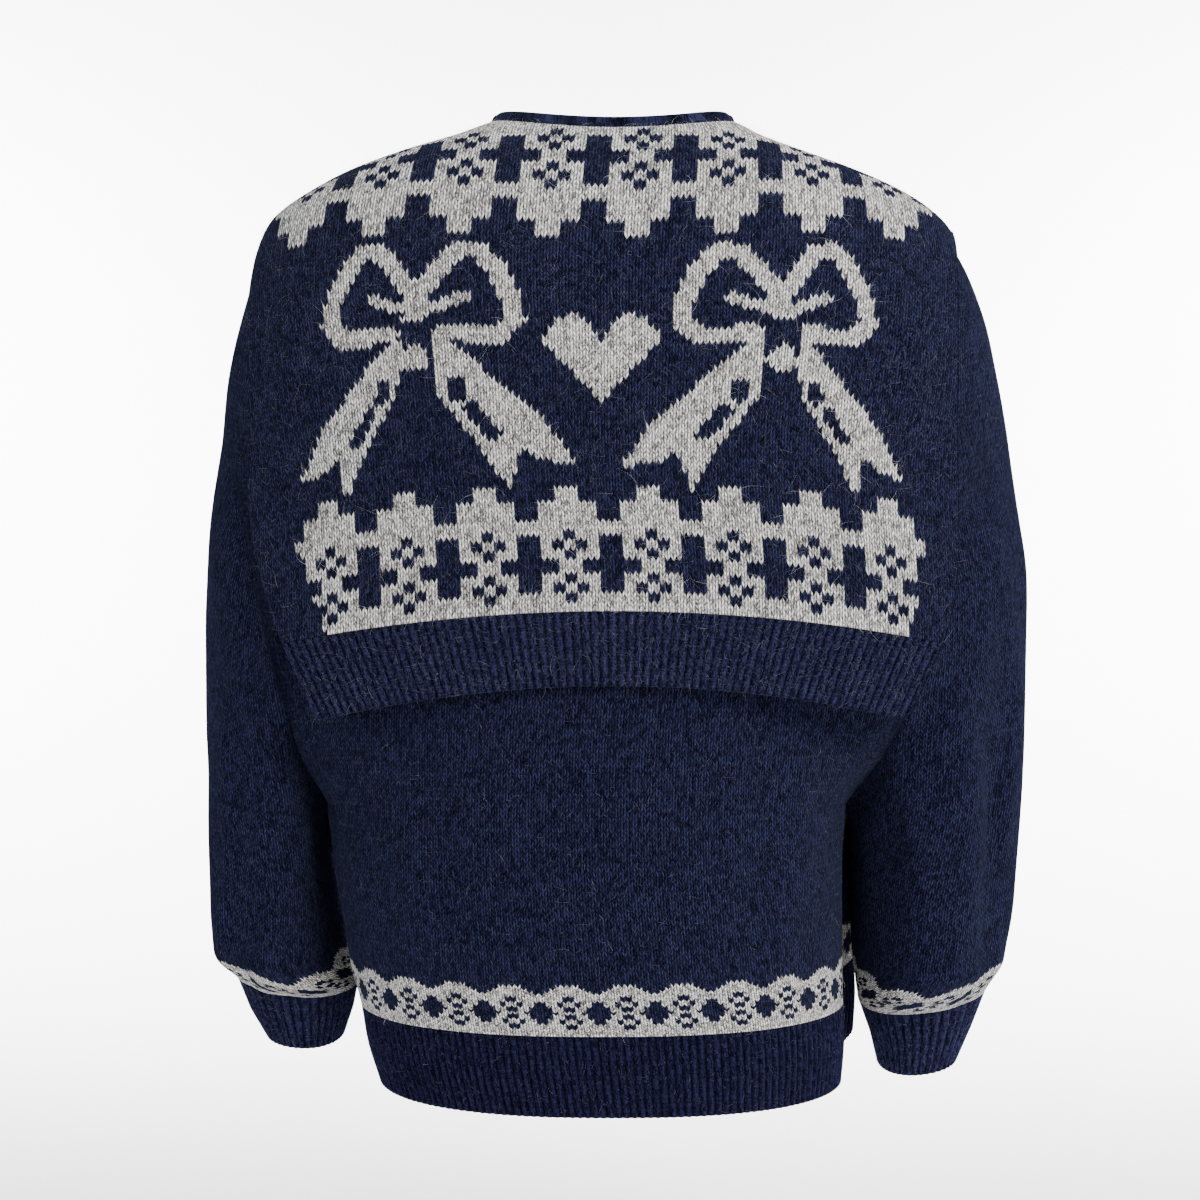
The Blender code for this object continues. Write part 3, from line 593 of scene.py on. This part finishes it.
def collarChart(column, row, leftEdge, rightEdge):
    pale = np.zeros(column.shape)
    low = row < len(lace)
    pale[low] = lace[row[low], column[low] % 14]
    high = (row >= upperBorder) & (row < upperBorder + len(lace))
    pale[high] = lace[upperBorder + len(lace) - 1 - row[high], (column[high] + 2) % 14]
    pale[row >= upperBorder + len(lace)] = 1
    x, y = (column + 0.5) * widerAbove(row), row + 0.5
    pale[bow(x + 33, y - 62, +1)] = 1
    pale[bow(x - 31, y - 61.5, -1)] = 1
    pale[heart(x + 0.5, y - 54)] = 1
    fromLeft = column + 0.5 - leftEdge - np.where(low, 2.5, 0)
    fromRight = rightEdge - column - 0.5 - np.where(low, 1.0, 0)
    pale[np.minimum(fromLeft, fromRight) < np.where(low, 6.0, np.where(high, 7.0, 3.0))] = 0
    return pale


def flapChart(column, row, leftEdge, rightEdge):
    pale = np.zeros(column.shape)
    down = row < len(lace)
    pale[down] = lace[len(lace) - 1 - row[down], column[down] % 14]
    pale[np.minimum(column - leftEdge, rightEdge - column) < 2.5] = 0
    return pale


def borderChart(column, row, leftEdge, rightEdge):
    pale = np.zeros(column.shape)
    low = row < len(scallop)
    pale[low] = scallop[row[low], column[low] % 10]
    return pale


def areasOf(corner):
    return np.linalg.norm(np.cross(corner[:, 2] - corner[:, 0], corner[:, 3] - corner[:, 1]), axis=-1) / 2


def quadsBetween(number):
    # quads of a numbered grid, with the row and column that each starts from
    r, c = np.meshgrid(np.arange(number.shape[0] - 1), np.arange(number.shape[1] - 1), indexing="ij")
    r, c = r.ravel(), c.ravel()
    return r, c, np.stack([number[r, c], number[r, c + 1], number[r + 1, c + 1], number[r + 1, c]], axis=-1)


def knitted(surface, width, heights, chart, flip=False, sideStretch=0.0, widen=lambda row: 1.0):
    # cloth of V shaped stitches over a surface whose first row is the first knitted row
    rows, columns = surface.shape[:2]
    lengths = np.zeros((rows, columns))
    lengths[1:] = np.cumsum(np.linalg.norm(np.diff(surface, axis=0), axis=-1), axis=0)
    steps = np.concatenate([[0], np.cumsum(heights)])
    steps = steps[: np.searchsorted(steps, lengths[-1].max()) + 1]
    levels = np.interp(np.arange(-1, 2 * len(steps)) / 2, np.arange(len(steps)), steps)  # half rows
    levelled = np.zeros((len(levels), columns, 3))
    taller = 1 + sideStretch * abs(np.linspace(-1, 1, columns)) ** 1.2  # rows are taller towards the sides
    for c in range(columns):
        for axis in range(3):
            levelled[:, c, axis] = np.interp(levels * taller[c], lengths[:, c], surface[:, c, axis])
    run = np.zeros((len(levels), columns))
    run[:, 1:] = np.cumsum(np.linalg.norm(np.diff(levelled, axis=1), axis=-1), axis=1)
    run = run - run[:, [columns // 2]]
    run = run / np.array([widen((j - 1) / 2) for j in range(len(levels))])[:, None]
    half = int(np.ceil(max(-run[:, 0].min(), run[:, -1].max()) / width)) * 2
    places = np.arange(-half, half + 1)
    fine = np.zeros((len(levels), len(places), 3))
    for j in range(len(levels)):
        for axis in range(3):
            fine[j, :, axis] = np.interp(places * width / 2, run[j], levelled[j, :, axis])
    count = len(steps)
    even = places % 2 == 0
    # stitch edges stand half a row higher and stitch middles half a row lower
    index = 2 * np.arange(count)[:, None] + np.where(even, 2, 0)[None]
    index[0] = 1
    points = fine[np.clip(index, 0, len(levels) - 1), np.arange(len(places))[None]]
    r, c, quads = quadsBetween(np.arange(count * len(places)).reshape(count, len(places)))
    flatPoints = points.reshape(-1, 3)
    corner = flatPoints[quads]
    area = areasOf(corner)
    keep = area > 0.02 * width * heights[0]
    left, right = run[1::2, 0] / width, run[1::2, -1] / width
    edgeRow = np.minimum(r, len(left) - 1)
    pale = chart(np.floor_divide(places[c], 2), r, left[edgeRow], right[edgeRow])
    u, v = np.meshgrid(places / 2, np.arange(count))
    uv = np.stack([u, v], axis=-1).reshape(-1, 2)
    quads = quads[keep]
    if flip:
        quads = quads[:, ::-1]
    return dict(points=flatPoints, quads=quads, uv=uv[quads], pale=pale[keep], area=area[keep])


def coarse(surface, wrap=False, flip=False):
    # plain grid, used for linings of the same cloth and for ribs
    rows, columns = surface.shape[:2]
    number = np.arange(rows * columns).reshape(rows, columns)
    if wrap:
        number = np.concatenate([number, number[:, :1]], axis=1)
    r, c, quads = quadsBetween(number)
    around = ((0, 0), (1, 0), (1, 1), (0, 1))
    uv = np.stack([np.stack([c + i, r + j], axis=-1) for i, j in around], axis=1).astype(float)
    if flip:
        quads, uv = quads[:, ::-1], uv[:, ::-1]
    points = surface.reshape(-1, 3)
    area = areasOf(points[quads])
    keep = area > 1e-10
    return dict(points=points, quads=quads[keep], uv=uv[keep], pale=np.zeros(keep.sum()), area=area[keep])


def lining(surface, normals, flip):
    # the purl side of the same cloth, one cloth depth inside it
    return coarse((surface - normals * clothDepth)[::liningRows, ::liningColumns], flip=flip)


def bead(path, sides=6):
    # rolled edge along a line
    ways = unit(np.gradient(path, axis=0))
    first = unit(np.cross(ways, np.array([0.3, 0.2, 0.9])))
    second = np.cross(ways, first)
    turns = (2 * math.pi * np.arange(sides) / sides)[None, :, None]
    rings = path[:, None] + edgeRadius * (first[:, None] * np.cos(turns) + second[:, None] * np.sin(turns))
    return coarse(rings, wrap=True)


def joined(name, parts, material):
    offsets = np.cumsum([0] + [len(part["points"]) for part in parts])
    quads = np.concatenate([part["quads"] + offset for part, offset in zip(parts, offsets)])
    points, uvs, pales = (np.concatenate([part[key] for part in parts]) for key in ("points", "uv", "pale"))
    used, back = np.unique(quads.ravel(), return_inverse=True)
    points, quads = points[used], back.reshape(quads.shape)
    mesh = bpy.data.meshes.new(name)
    mesh.vertices.add(len(points))
    mesh.vertices.foreach_set("co", points.ravel())
    mesh.loops.add(quads.size)
    mesh.loops.foreach_set("vertex_index", quads.ravel())
    mesh.polygons.add(len(quads))
    mesh.polygons.foreach_set("loop_start", np.arange(len(quads)) * 4)
    mesh.update(calc_edges=True)
    mesh.uv_layers.new(name="stitches").data.foreach_set("uv", uvs.reshape(-1, 2).ravel())
    yarn = mesh.attributes.new("yarn", "FLOAT_COLOR", "FACE")
    shade = rng.random((len(quads), 2))
    yarn.data.foreach_set("color", np.column_stack([pales, shade, np.ones(len(quads))]).ravel())
    mesh.materials.append(material)
    mesh.polygons.foreach_set("use_smooth", np.ones(len(quads), dtype=bool))
    mesh.validate()
    piece = bpy.data.objects.new(name, mesh)
    scene.collection.objects.link(piece)
    return piece


# shader maths
class Wire:
    def __init__(self, tree, socket):
        self.tree, self.socket = tree, socket

    def make(self, kind, settings=None, **values):
        node = self.tree.nodes.new(kind)
        for key, value in (settings or {}).items():
            setattr(node, key, value)
        for key, value in values.items():
            numbered = key[1:].isdigit()  # i0, i1 and so on stand for the sockets by number
            target = node.inputs[int(key[1:]) if numbered else key]
            if isinstance(value, Wire):
                self.tree.links.new(value.socket, target)
            else:
                target.default_value = value
        return node

    def take(self, node, output=0):
        return Wire(self.tree, node.outputs[output])

    def maths(self, operation, *values):
        return self.take(self.make("ShaderNodeMath", {"operation": operation},
                                   **{f"i{k}": value for k, value in enumerate(values)}))

    def __add__(self, other):
        return self.maths("ADD", self, other)

    def __sub__(self, other):
        return self.maths("SUBTRACT", self, other)

    def __rsub__(self, other):
        return self.maths("SUBTRACT", other, self)

    def __mul__(self, other):
        return self.maths("MULTIPLY", self, other)

    def __pow__(self, other):
        return self.maths("POWER", self, other)

    __radd__, __rmul__ = __add__, __mul__

    def wave(self):
        return self.maths("ABSOLUTE", self.maths("SINE", self * math.pi))

    def ranged(self, low, high):
        return self.take(self.make("ShaderNodeMapRange", None, i0=self, i1=low, i2=high))

    def noise(self, dimensions, place, scale, detail, roughness=0.5):
        return self.take(self.make("ShaderNodeTexNoise", {"noise_dimensions": dimensions}, Vector=place,
                                   Scale=scale, Detail=detail, Roughness=roughness))

    def vector(self, operation, **values):
        return self.take(self.make("ShaderNodeVectorMath", {"operation": operation}, **values))

    def mix(self, first, second):
        node = self.make("ShaderNodeMix", {"data_type": "RGBA"}, i0=self, i6=first, i7=second)
        return Wire(self.tree, node.outputs[2])


def newMaterial(name):
    material = bpy.data.materials.new(name)
    material.use_nodes = True
    tree = material.node_tree
    tree.nodes.clear()
    start = Wire(tree, None)
    output = tree.nodes.new("ShaderNodeOutputMaterial")
    shader = tree.nodes.new("ShaderNodeBsdfPrincipled")
    tree.links.new(shader.outputs[0], output.inputs[0])
    return material, tree, start, shader


def yarnColour(start):
    # how pale a stitch's yarn is, and its own shade
    yarn = start.make("ShaderNodeAttribute", {"attribute_name": "yarn"})
    parts = start.make("ShaderNodeSeparateColor", None, i0=start.take(yarn))
    return start.take(parts, 0), start.take(parts, 1)


def scaled(colour, times):
    return tuple(c * times for c in colour) + (1.0,)


def woolMaterial(name, navyYarn, ribbed=False):
    material, tree, start, shader = newMaterial(name)
    stitches = start.make("ShaderNodeUVMap", {"uv_map": "stitches"})
    spot = start.take(stitches)
    parts = start.make("ShaderNodeSeparateXYZ", None, i0=spot)
    u, v = start.take(parts, 0), start.take(parts, 1)
    pale, shade = yarnColour(start)
    place = start.take(start.make("ShaderNodeTexCoord"), 3)
    fibres = start.noise("3D", place, 900.0, 3.0, 0.7)
    streaks = start.noise("2D", start.vector("MULTIPLY", i0=spot, i1=(5.0, 1.3, 1.0)), 1.0, 3.0, 0.65)
    cloud = start.noise("3D", place, 22.0, 3.0)
    if ribbed:
        height = v.wave() * 0.3 + fibres * 0.6
        crest = ((u + ribSteps / 2) * (1 / ribSteps)).wave()  # painted light and shade: the colour is brighter on a rib's crest and darker in a furrow
        paintedGrooveShade = (0.6 + height * 0.65) * (0.25 + 0.85 * crest)
    else:
        leg = (u * 2.0).wave() ** 0.9
        loop = v.wave() ** 0.9
        height = leg * (0.45 + loop * 0.55) + fibres * 0.35
        # painted shade: the colour is darkened in the grooves between stitch legs and loops
        paintedGrooveShade = 0.14 + 1.15 * leg * (0.22 + loop * 0.78)
    mixture = streaks.ranged(0.3, 0.7) * 0.45 + shade * 0.3 + fibres.ranged(0.35, 0.65) * 0.25
    mixture = mixture.ranged(0.3, 0.7)
    # each yarn runs from its dark fibres to its light ones
    navy = mixture.mix(scaled(navyYarn, 0.25), scaled(navyYarn, 2.4))
    grey = mixture.mix(scaled(paleYarn, 0.16), scaled(paleYarn, 1.78))
    warm = (cloud.ranged(0.4, 0.65) * 0.35).mix((1.0, 1.0, 1.0, 1.0), (1.0, 0.93, 0.86, 1.0))
    tinted = start.vector("MULTIPLY", i0=grey, i1=warm)
    colour = pale.mix(navy, tinted)
    # painted shade: the yarn colour is multiplied by the painted groove and furrow shade
    shaded = start.vector("SCALE", i0=colour, Scale=paintedGrooveShade)
    relief = start.make("ShaderNodeBump", None, Strength=0.9, Distance=0.7 * mm, Height=height)
    tree.links.new(shaded.socket, shader.inputs["Base Color"])
    tree.links.new(start.take(relief).socket, shader.inputs["Normal"])
    shader.inputs["Roughness"].default_value = 0.92
    shader.inputs["Specular IOR Level"].default_value = 0.0
    shader.inputs["Sheen Weight"].default_value = 0.035
    shader.inputs["Sheen Roughness"].default_value = 0.5
    shader.inputs["Sheen Tint"].default_value = (0.5, 0.58, 0.8, 1.0)
    return material


def hairMaterial():
    material, tree, start, shader = newMaterial("stray_fibres")
    pale, shade = yarnColour(start)
    colour = (pale * 0.75 + shade * 0.25).mix((0.012, 0.016, 0.036, 1.0), (0.62, 0.61, 0.61, 1.0))
    tree.links.new(colour.socket, shader.inputs["Base Color"])
    shader.inputs["Roughness"].default_value = 0.8
    shader.inputs["Specular IOR Level"].default_value = 0.1
    return material


paleYarn = (0.53, 0.525, 0.515)
jacquardKnit = woolMaterial("jacquard_knit", (0.0097, 0.0108, 0.0288))
ribKnit = woolMaterial("rib_knit", (0.0099, 0.0106, 0.0288), ribbed=True)
# painted shade: a darker copy of the rib cloth for the hem, which hangs in shade
paintedShadeRibKnit = woolMaterial("painted_shade_rib_knit", (0.0067, 0.0065, 0.0208), ribbed=True)
strayFibres = hairMaterial()


def fuzz(name, cloth, sizes):
    # short curved fibres that stand off the cloth, as narrow ribbons
    count = sizes["fibres"]
    chosen = rng.choice(len(cloth["quads"]), size=count, p=cloth["area"] / cloth["area"].sum())
    corner = cloth["points"][cloth["quads"][chosen]]
    a, b = rng.random((2, count, 1))
    root = (1 - a) * (1 - b) * corner[:, 0] + a * (1 - b) * corner[:, 1]
    root = root + a * b * corner[:, 2] + (1 - a) * b * corner[:, 3]
    normal = unit(np.cross(corner[:, 2] - corner[:, 0], corner[:, 3] - corner[:, 1]))
    flow = unit(rng.normal(size=(count, 3)))
    flow = unit(flow - normal * (flow * normal).sum(axis=1, keepdims=True))
    turn = np.cross(normal, flow)
    length = sizes["longest"] * (0.25 + 0.75 * rng.random((count, 1)) ** 2)
    rise = 0.12 + 0.4 * rng.random((count, 1)) ** 2
    bend = rng.normal(size=(count, 1)) * 0.5
    segments = 4
    points = []
    for t in np.linspace(0, 1, segments + 1):
        out = rise * math.sin(0.75 * math.pi * t)
        points.append(root + length * (flow * t + turn * bend * t * t + normal * out))
    points = np.stack(points, axis=1)
    side = unit(np.cross(flow, normal + 0.6 * rng.normal(size=(count, 3))))
    taper = np.array([1, 1, 0.9, 0.7, 0.35])[None, :, None]
    thick = (0.020 + 0.026 * rng.random((count, 1, 1))) * mm * taper
    ribbon = np.stack([points - side[:, None] * thick, points + side[:, None] * thick], axis=2)
    number = np.arange(count * (segments + 1) * 2).reshape(count, segments + 1, 2)
    quads = np.stack([number[:, :-1, 0], number[:, :-1, 1], number[:, 1:, 1], number[:, 1:, 0]], axis=-1)
    quads = quads.reshape(-1, 4)
    strayPale = (rng.random(count) < 0.16) * 0.4 * rng.random(count)  # some stand out from the navy
    pale = np.clip(cloth["pale"][chosen] * 0.9 + strayPale, 0, 1)
    part = dict(points=ribbon.reshape(-1, 3), quads=quads, uv=np.zeros((len(quads), 4, 2)),
                pale=np.repeat(pale, segments))
    return joined(name, [part], strayFibres)


def declare(piece, node, extras):
    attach(piece, "root")
    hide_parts(node)
    for extra in extras:
        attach(extra, "root")


def outwards(surface):
    return surface * [1, 1, 0]


print("surfaces")
backGrid, firstRow = panelSurface(+1)
frontGrid, firstRow = panelSurface(-1)
sleeveGrids = {side: sleeveSurface(side, backGrid, frontGrid, firstRow) for side in (+1, -1)}
bodyHeights = [borderRow] * len(scallop) + [rowHeight] * 400

print("panels")
panels = [
    dict(name="backPanel", node="back", grid=backGrid, flip=False, flat=(0.66, 0.59), area=0.33,
         fibres=5200, longest=9 * mm),
    dict(name="frontPanel", node="front", grid=frontGrid, flip=True, flat=(0.66, 0.59), area=0.33,
         fibres=5200, longest=9 * mm),
]
for panel in panels:
    name, grid, flip = panel["name"], panel["grid"], panel["flip"]
    normals = normalsOf(grid, outwards)
    shaped = creased(grid, normals, panel["node"])
    cloth = knitted(shaped, stitchWidth, bodyHeights, borderChart, flip=flip)
    piece = joined(name, [cloth], jacquardKnit)
    inside = joined(name + "Inside", [lining(shaped, normals, not flip)], jacquardKnit)
    hairs = fuzz(name + "Fuzz", cloth, panel)
    print(name, len(piece.data.polygons) * 2, "triangles, area", round(cloth["area"].sum(), 4))
    declare(piece, panel["node"], [inside, hairs])

print("sleeves")
sleeves = [
    dict(name="sleeveLeft", node="sleeve_left", side=+1, flat=(0.46, 0.38), area=0.13,
         fibres=4200, longest=9 * mm),
    dict(name="sleeveRight", node="sleeve_right", side=-1, flat=(0.46, 0.38), area=0.13,
         fibres=4200, longest=9 * mm),
]
for sleeve in sleeves:
    name, side = sleeve["name"], sleeve["side"]
    grid = sleeveGrids[side][::-1]
    count = grid.shape[1]
    order = np.arange(count + 1) - count // 2  # opened along the inner line
    if side < 0:
        order = order[::-1]
    grid = grid[:, order % count]
    centre = grid[:, :-1].mean(axis=1, keepdims=True)
    normals = normalsOf(grid, lambda surface: surface - centre)
    shaped = creased(grid, normals, name)
    cloth = knitted(shaped, stitchWidth, bodyHeights, borderChart, flip=True)
    piece = joined(name, [cloth], jacquardKnit)
    inside = joined(name + "Inside", [lining(shaped, normals, False)], jacquardKnit)
    hairs = fuzz(name + "Fuzz", cloth, sleeve)
    print(name, len(piece.data.polygons) * 2, "triangles, area", round(cloth["area"].sum(), 4))
    declare(piece, sleeve["node"], [inside, hairs])


def ribbedTube(grid, ribs, closed, outward):
    # rows from the seam to the free edge, ribs across; the cloth turns under at the free edge
    count = ribs * ribSteps
    loop = np.concatenate([grid, grid[:, :1]], axis=1) if closed else grid
    run = np.concatenate([[0], np.cumsum(np.linalg.norm(np.diff(loop[-1], axis=0), axis=-1))])
    wanted = np.linspace(0, run[-1], count + 1)[: count if closed else None]
    dense = np.zeros((len(loop), len(wanted), 3))
    for k, row in enumerate(loop):
        for axis in range(3):
            dense[k, :, axis] = np.interp(wanted, run, row[:, axis])
    if closed:
        across = np.roll(dense, -1, axis=1) - np.roll(dense, 1, axis=1)
    else:
        across = np.gradient(dense, axis=1)
    along = np.gradient(dense, axis=0)
    normals = unit(np.cross(along, across))
    normals = normals * np.sign((normals * outward(dense)).sum(axis=-1).mean())
    wave = np.cos(2 * math.pi * np.arange(len(wanted)) / ribSteps)
    shape = np.sign(wave) * abs(wave) ** 0.7
    outer = dense + normals * (shape * ribRelief / 2 - ribRelief / 2)[None, :, None]
    inner = dense - normals * (clothDepth + ribRelief * 0.4)
    turned = (outer[-1] + inner[-1]) / 2 + unit(along[-1]) * 0.9 * mm
    under = (turned + inner[-1]) / 2
    outerRows = np.concatenate([outer, turned[None], under[None]])
    innerRows = np.concatenate([under[None], inner[::-1][::4], inner[:1]])
    return outerRows, innerRows


print("ribs")
hemSizes = dict(ribs=188, flat=(0.96, 0.052), fibres=2200, longest=7 * mm)
places = np.linspace(0, 1, panelCount + 1)
hemRows = []
for drop in np.linspace(hemSeam, hemEnd, 18):
    behind, before = bodyPoint(places, drop, +1), bodyPoint(places, drop, -1)
    hemRows.append(np.concatenate([behind, before[::-1][1:-1]]))
hemGrid = np.array(hemRows)
hemCloth, hemInner = (coarse(grid, wrap=True, flip=True)
                      for grid in ribbedTube(hemGrid, hemSizes["ribs"], True, outwards))
# the hem rib wears the darker copy of the rib cloth: painted shade
hem = joined("hemRib", [hemCloth], paintedShadeRibKnit)
declare(hem, "hem_rib",
        [joined("hemInside", [hemInner], ribKnit), fuzz("hemFuzz", hemCloth, hemSizes)])

cuffs = [
    dict(name="cuffLeft", node="cuff_left", side=+1, ribs=44, flat=(0.23, 0.045), fibres=700,
         longest=7 * mm),
    dict(name="cuffRight", node="cuff_right", side=-1, ribs=44, flat=(0.23, 0.045), fibres=700,
         longest=7 * mm),
]
for cuff in cuffs:
    name, side = cuff["name"], cuff["side"]
    seam = sleeveGrids[side][-1]
    turns = np.arange(len(seam)) / len(seam)
    keys = np.stack([seam] + [ring(cuffSizes[side], row, side, 2 * math.pi * turns) for row in (0, 1)])
    shares = np.linspace(0, 1, 16)
    rows = np.stack([at(keys[:, k], shares) for k in range(len(seam))], axis=1)
    middle = rows.mean(axis=1, keepdims=True)
    grids = ribbedTube(rows, cuff["ribs"], True, lambda surface: surface - middle)
    cuffCloth, cuffInner = (coarse(grid, wrap=True, flip=side > 0) for grid in grids)
    piece = joined(name, [cuffCloth], ribKnit)
    declare(piece, cuff["node"],
            [joined(name + "Inside", [cuffInner], ribKnit), fuzz(name + "Fuzz", cuffCloth, cuff)])

print("collar")
collarSizes = dict(flat=(0.50, 0.62), area=0.20, fibres=9000, longest=13 * mm)
collarEndSizes = dict(fibres=1600, longest=9 * mm)
behind, shoulder = collarSurface()
ridgeCount = shoulderCount + 1
shoulders = {+1: shoulder[:ridgeCount], -1: shoulder[ridgeCount:][::-1]}
lifted = offYoke(behind, +1, collarLift(behind))
normals = normalsOf(lifted, outwards)
shaped = creased(lifted, normals, "collar")
reach = np.linalg.norm(np.diff(shaped[:, panelCount // 2], axis=0), axis=-1).sum()
topCourse = (reach - upperBorder * collarCourse) / (len(lace) - 1.2)  # the last rows reach the neck
print("collar length", round(reach, 4), "upper rows", round(topCourse * 1000, 2), "mm")
collarHeights = [collarCourse] * upperBorder + [topCourse] * 60
cloths = [knitted(shaped[::-1], collarStitch, collarHeights, collarChart,
                  sideStretch=0.12, widen=widerAbove)]
linings = [lining(shaped, normals, True)]
middle = shaped - normals * clothDepth / 2
beads = [bead(middle[:, 0]), bead(middle[:, -1])]
for side, line in shoulders.items():
    flap = flapSurface(side, line)
    flap = offYoke(flap, -1, collarLift(flap))
    flap[0] = lifted[0, :ridgeCount] if side > 0 else lifted[0, -ridgeCount:][::-1]
    out = normalsOf(flap, outwards)
    cloths.append(knitted(flap, collarStitch, [collarCourse] * 300, flapChart, flip=side > 0))
    linings.append(lining(flap, out, side < 0))
    middle = flap - out * clothDepth / 2
    beads += [bead(middle[:, 0]), bead(middle[-1])]
collar = joined("collarCloth", cloths, jacquardKnit)
extras = [joined("collarUnderside", linings, jacquardKnit), joined("collarEdges", beads, ribKnit),
          fuzz("collarFuzz", cloths[0], collarSizes), fuzz("collarEndFuzz", cloths[1], collarEndSizes),
          fuzz("collarOtherEndFuzz", cloths[2], collarEndSizes)]
knittedArea = round(sum(cloth["area"].sum() for cloth in cloths), 4)
print("collar", len(collar.data.polygons) * 2, "triangles, area", knittedArea)
declare(collar, "collar", extras)

print("collar rib")
collarRibSizes = dict(ribs=74, flat=(0.43, 0.055), fibres=2000, longest=12 * mm)
lowLine = collarRow(collarEnd, collarEndRise)
highLine = collarRow(ribTop, ribTopRise)
levels = np.linspace(0, 1, 22)[:, None, None]
flat = highLine + (lowLine - highLine) * levels
ribRows = yokePoint(flat[..., 0], flat[..., 1], +1)
ribRows = offYoke(ribRows, +1, collarLift(ribRows))
ribGrid, ribInner = ribbedTube(ribRows, collarRibSizes["ribs"], False, outwards)
ribCloth = coarse(ribGrid, flip=True)
middle = ribRows - normalsOf(ribRows, outwards) * clothDepth / 2
collarRib = joined("collarRib", [ribCloth], ribKnit)
declare(collarRib, "collar_rib",
        [joined("collarRibInside", [coarse(ribInner, flip=True)], ribKnit),
         joined("collarRibEdges", [bead(middle[:, 0]), bead(middle[:, -1])], ribKnit),
         fuzz("collarRibFuzz", ribCloth, collarRibSizes)])

print("neck edge")
neckEdgeSizes = dict(flat=(0.58, 0.028), fibres=500, longest=6 * mm)
across = slice(shoulderCount, shoulderCount + neckCount + 1)
backOut = normalsOf(backGrid, outwards)[-1, across]
frontOut = normalsOf(frontGrid, outwards)[-1, across]
loop = np.concatenate([backGrid[-1, across], frontGrid[-1, across][::-1][1:-1]])
outs = np.concatenate([backOut, frontOut[::-1][1:-1]])
ways = unit(np.roll(loop, -1, axis=0) - np.roll(loop, 1, axis=0))
ups = unit(np.cross(outs, ways))
neckMiddle = np.array([0, -0.02, -0.04])
ups = ups * np.where((ups * (neckMiddle - loop)).sum(axis=1, keepdims=True) < 0, -1, 1)
ups[: neckCount + 1] = unit(ups[: neckCount + 1] + [0, 0, 1.0])  # behind, the edge stands up
profile = [(0.2, 1.5), (4.0, 2.2), (9.0, 2.6), (11.0, 1.9),
           (11.4, 0.6), (10.4, -0.8), (5.0, -1.6), (0.2, -1.5)]
edgeGrid = np.array([loop + (ups * high + outs * deep) * mm for high, deep in profile])
edgePart = coarse(edgeGrid, wrap=True)
edgePart["uv"] = edgePart["uv"] * np.array([1.0, 0.6])
neckEdge = joined("neckEdge", [edgePart], ribKnit)
declare(neckEdge, "neck_edge",
        [fuzz("neckFuzz", edgePart, neckEdgeSizes)])

print("stage")
backdrop = bpy.data.meshes.new("backdrop")
halfWidth, sweep = 4.5, 0.7
curve = [(-1.0 - sweep * math.sin(a), -0.16 - sweep * math.cos(a)) for a in np.linspace(0, math.pi / 2, 16)]
profile = [(2.6, -0.86)] + curve + [(-1.7, 2.4)]
points = [(x, y, z) for y, z in profile for x in (-halfWidth, halfWidth)]
strips = [(2 * k, 2 * k + 1, 2 * k + 3, 2 * k + 2) for k in range(len(profile) - 1)]
backdrop.from_pydata(points, [], strips)
backdrop.polygons.foreach_set("use_smooth", [True] * len(backdrop.polygons))
paper, tree, start, shader = newMaterial("pale_paper")
grain = start.noise("3D", start.take(start.make("ShaderNodeTexCoord"), 3), 60.0, 4.0)
paperColour = grain.mix((0.93, 0.93, 0.93, 1.0), (0.96, 0.96, 0.955, 1.0))
tree.links.new(paperColour.socket, shader.inputs["Base Color"])
shader.inputs["Roughness"].default_value = 0.95
backdrop.materials.append(paper)
floor = bpy.data.objects.new("backdrop", backdrop)
scene.collection.objects.link(floor)

world = bpy.data.worlds.new("studio")
world.use_nodes = True
world.node_tree.nodes["Background"].inputs[0].default_value = (0.95, 0.97, 1.0, 1.0)
world.node_tree.nodes["Background"].inputs[1].default_value = 0.48
scene.world = world
lamps = [
    dict(name="key", place=(-1.6, 2.0, 1.2), aim=(0, 0, -0.3), size=1.2, power=108, spread=180,
         colour=(1.0, 0.98, 0.95)),
    dict(name="fill", place=(1.8, 1.8, 0.1), aim=(0, 0, -0.3), size=1.8, power=4.5, spread=180,
         colour=(0.95, 0.97, 1.0)),
    dict(name="top", place=(0.0, 0.3, 1.9), aim=(0, 0, -0.3), size=1.4, power=30, spread=180,
         colour=(1.0, 1.0, 1.0)),
    dict(name="wallLeft", place=(1.9, -0.5, 0.3), aim=(0.2, -2.2, -0.3), size=1.2, power=130,
         spread=100, colour=(1.0, 1.0, 1.0)),
    dict(name="wallRight", place=(-1.9, -0.5, 0.3), aim=(-0.2, -2.2, -0.3), size=1.2, power=130,
         spread=100, colour=(1.0, 1.0, 1.0)),
]
for lamp in lamps:
    light = bpy.data.lights.new(lamp["name"], "AREA")
    light.size = lamp["size"]
    light.energy = lamp["power"]
    light.color = lamp["colour"]
    light.spread = math.radians(lamp["spread"])
    holder = bpy.data.objects.new(lamp["name"], light)
    holder.location = lamp["place"]
    aim = bpy.data.objects.new(lamp["name"] + "Aim", None)
    aim.location = lamp["aim"]
    scene.collection.objects.link(aim)
    scene.collection.objects.link(holder)
    tracking = holder.constraints.new("TRACK_TO")
    tracking.target = aim
    tracking.track_axis = "TRACK_NEGATIVE_Z"
    tracking.up_axis = "UP_Y"

# the photograph looks straight at the back, level with its middle
photoWidth, focalPixels = 1200, 1778
lens = bpy.data.cameras.new("camera")
lens.sensor_width = 36
lens.lens = 36 * focalPixels / photoWidth
camera = bpy.data.objects.new("camera", lens)
camera.location = (0.010, 1.2, -0.324)
camera.rotation_euler = (math.radians(90), 0, math.radians(180))
scene.collection.objects.link(camera)
scene.camera = camera
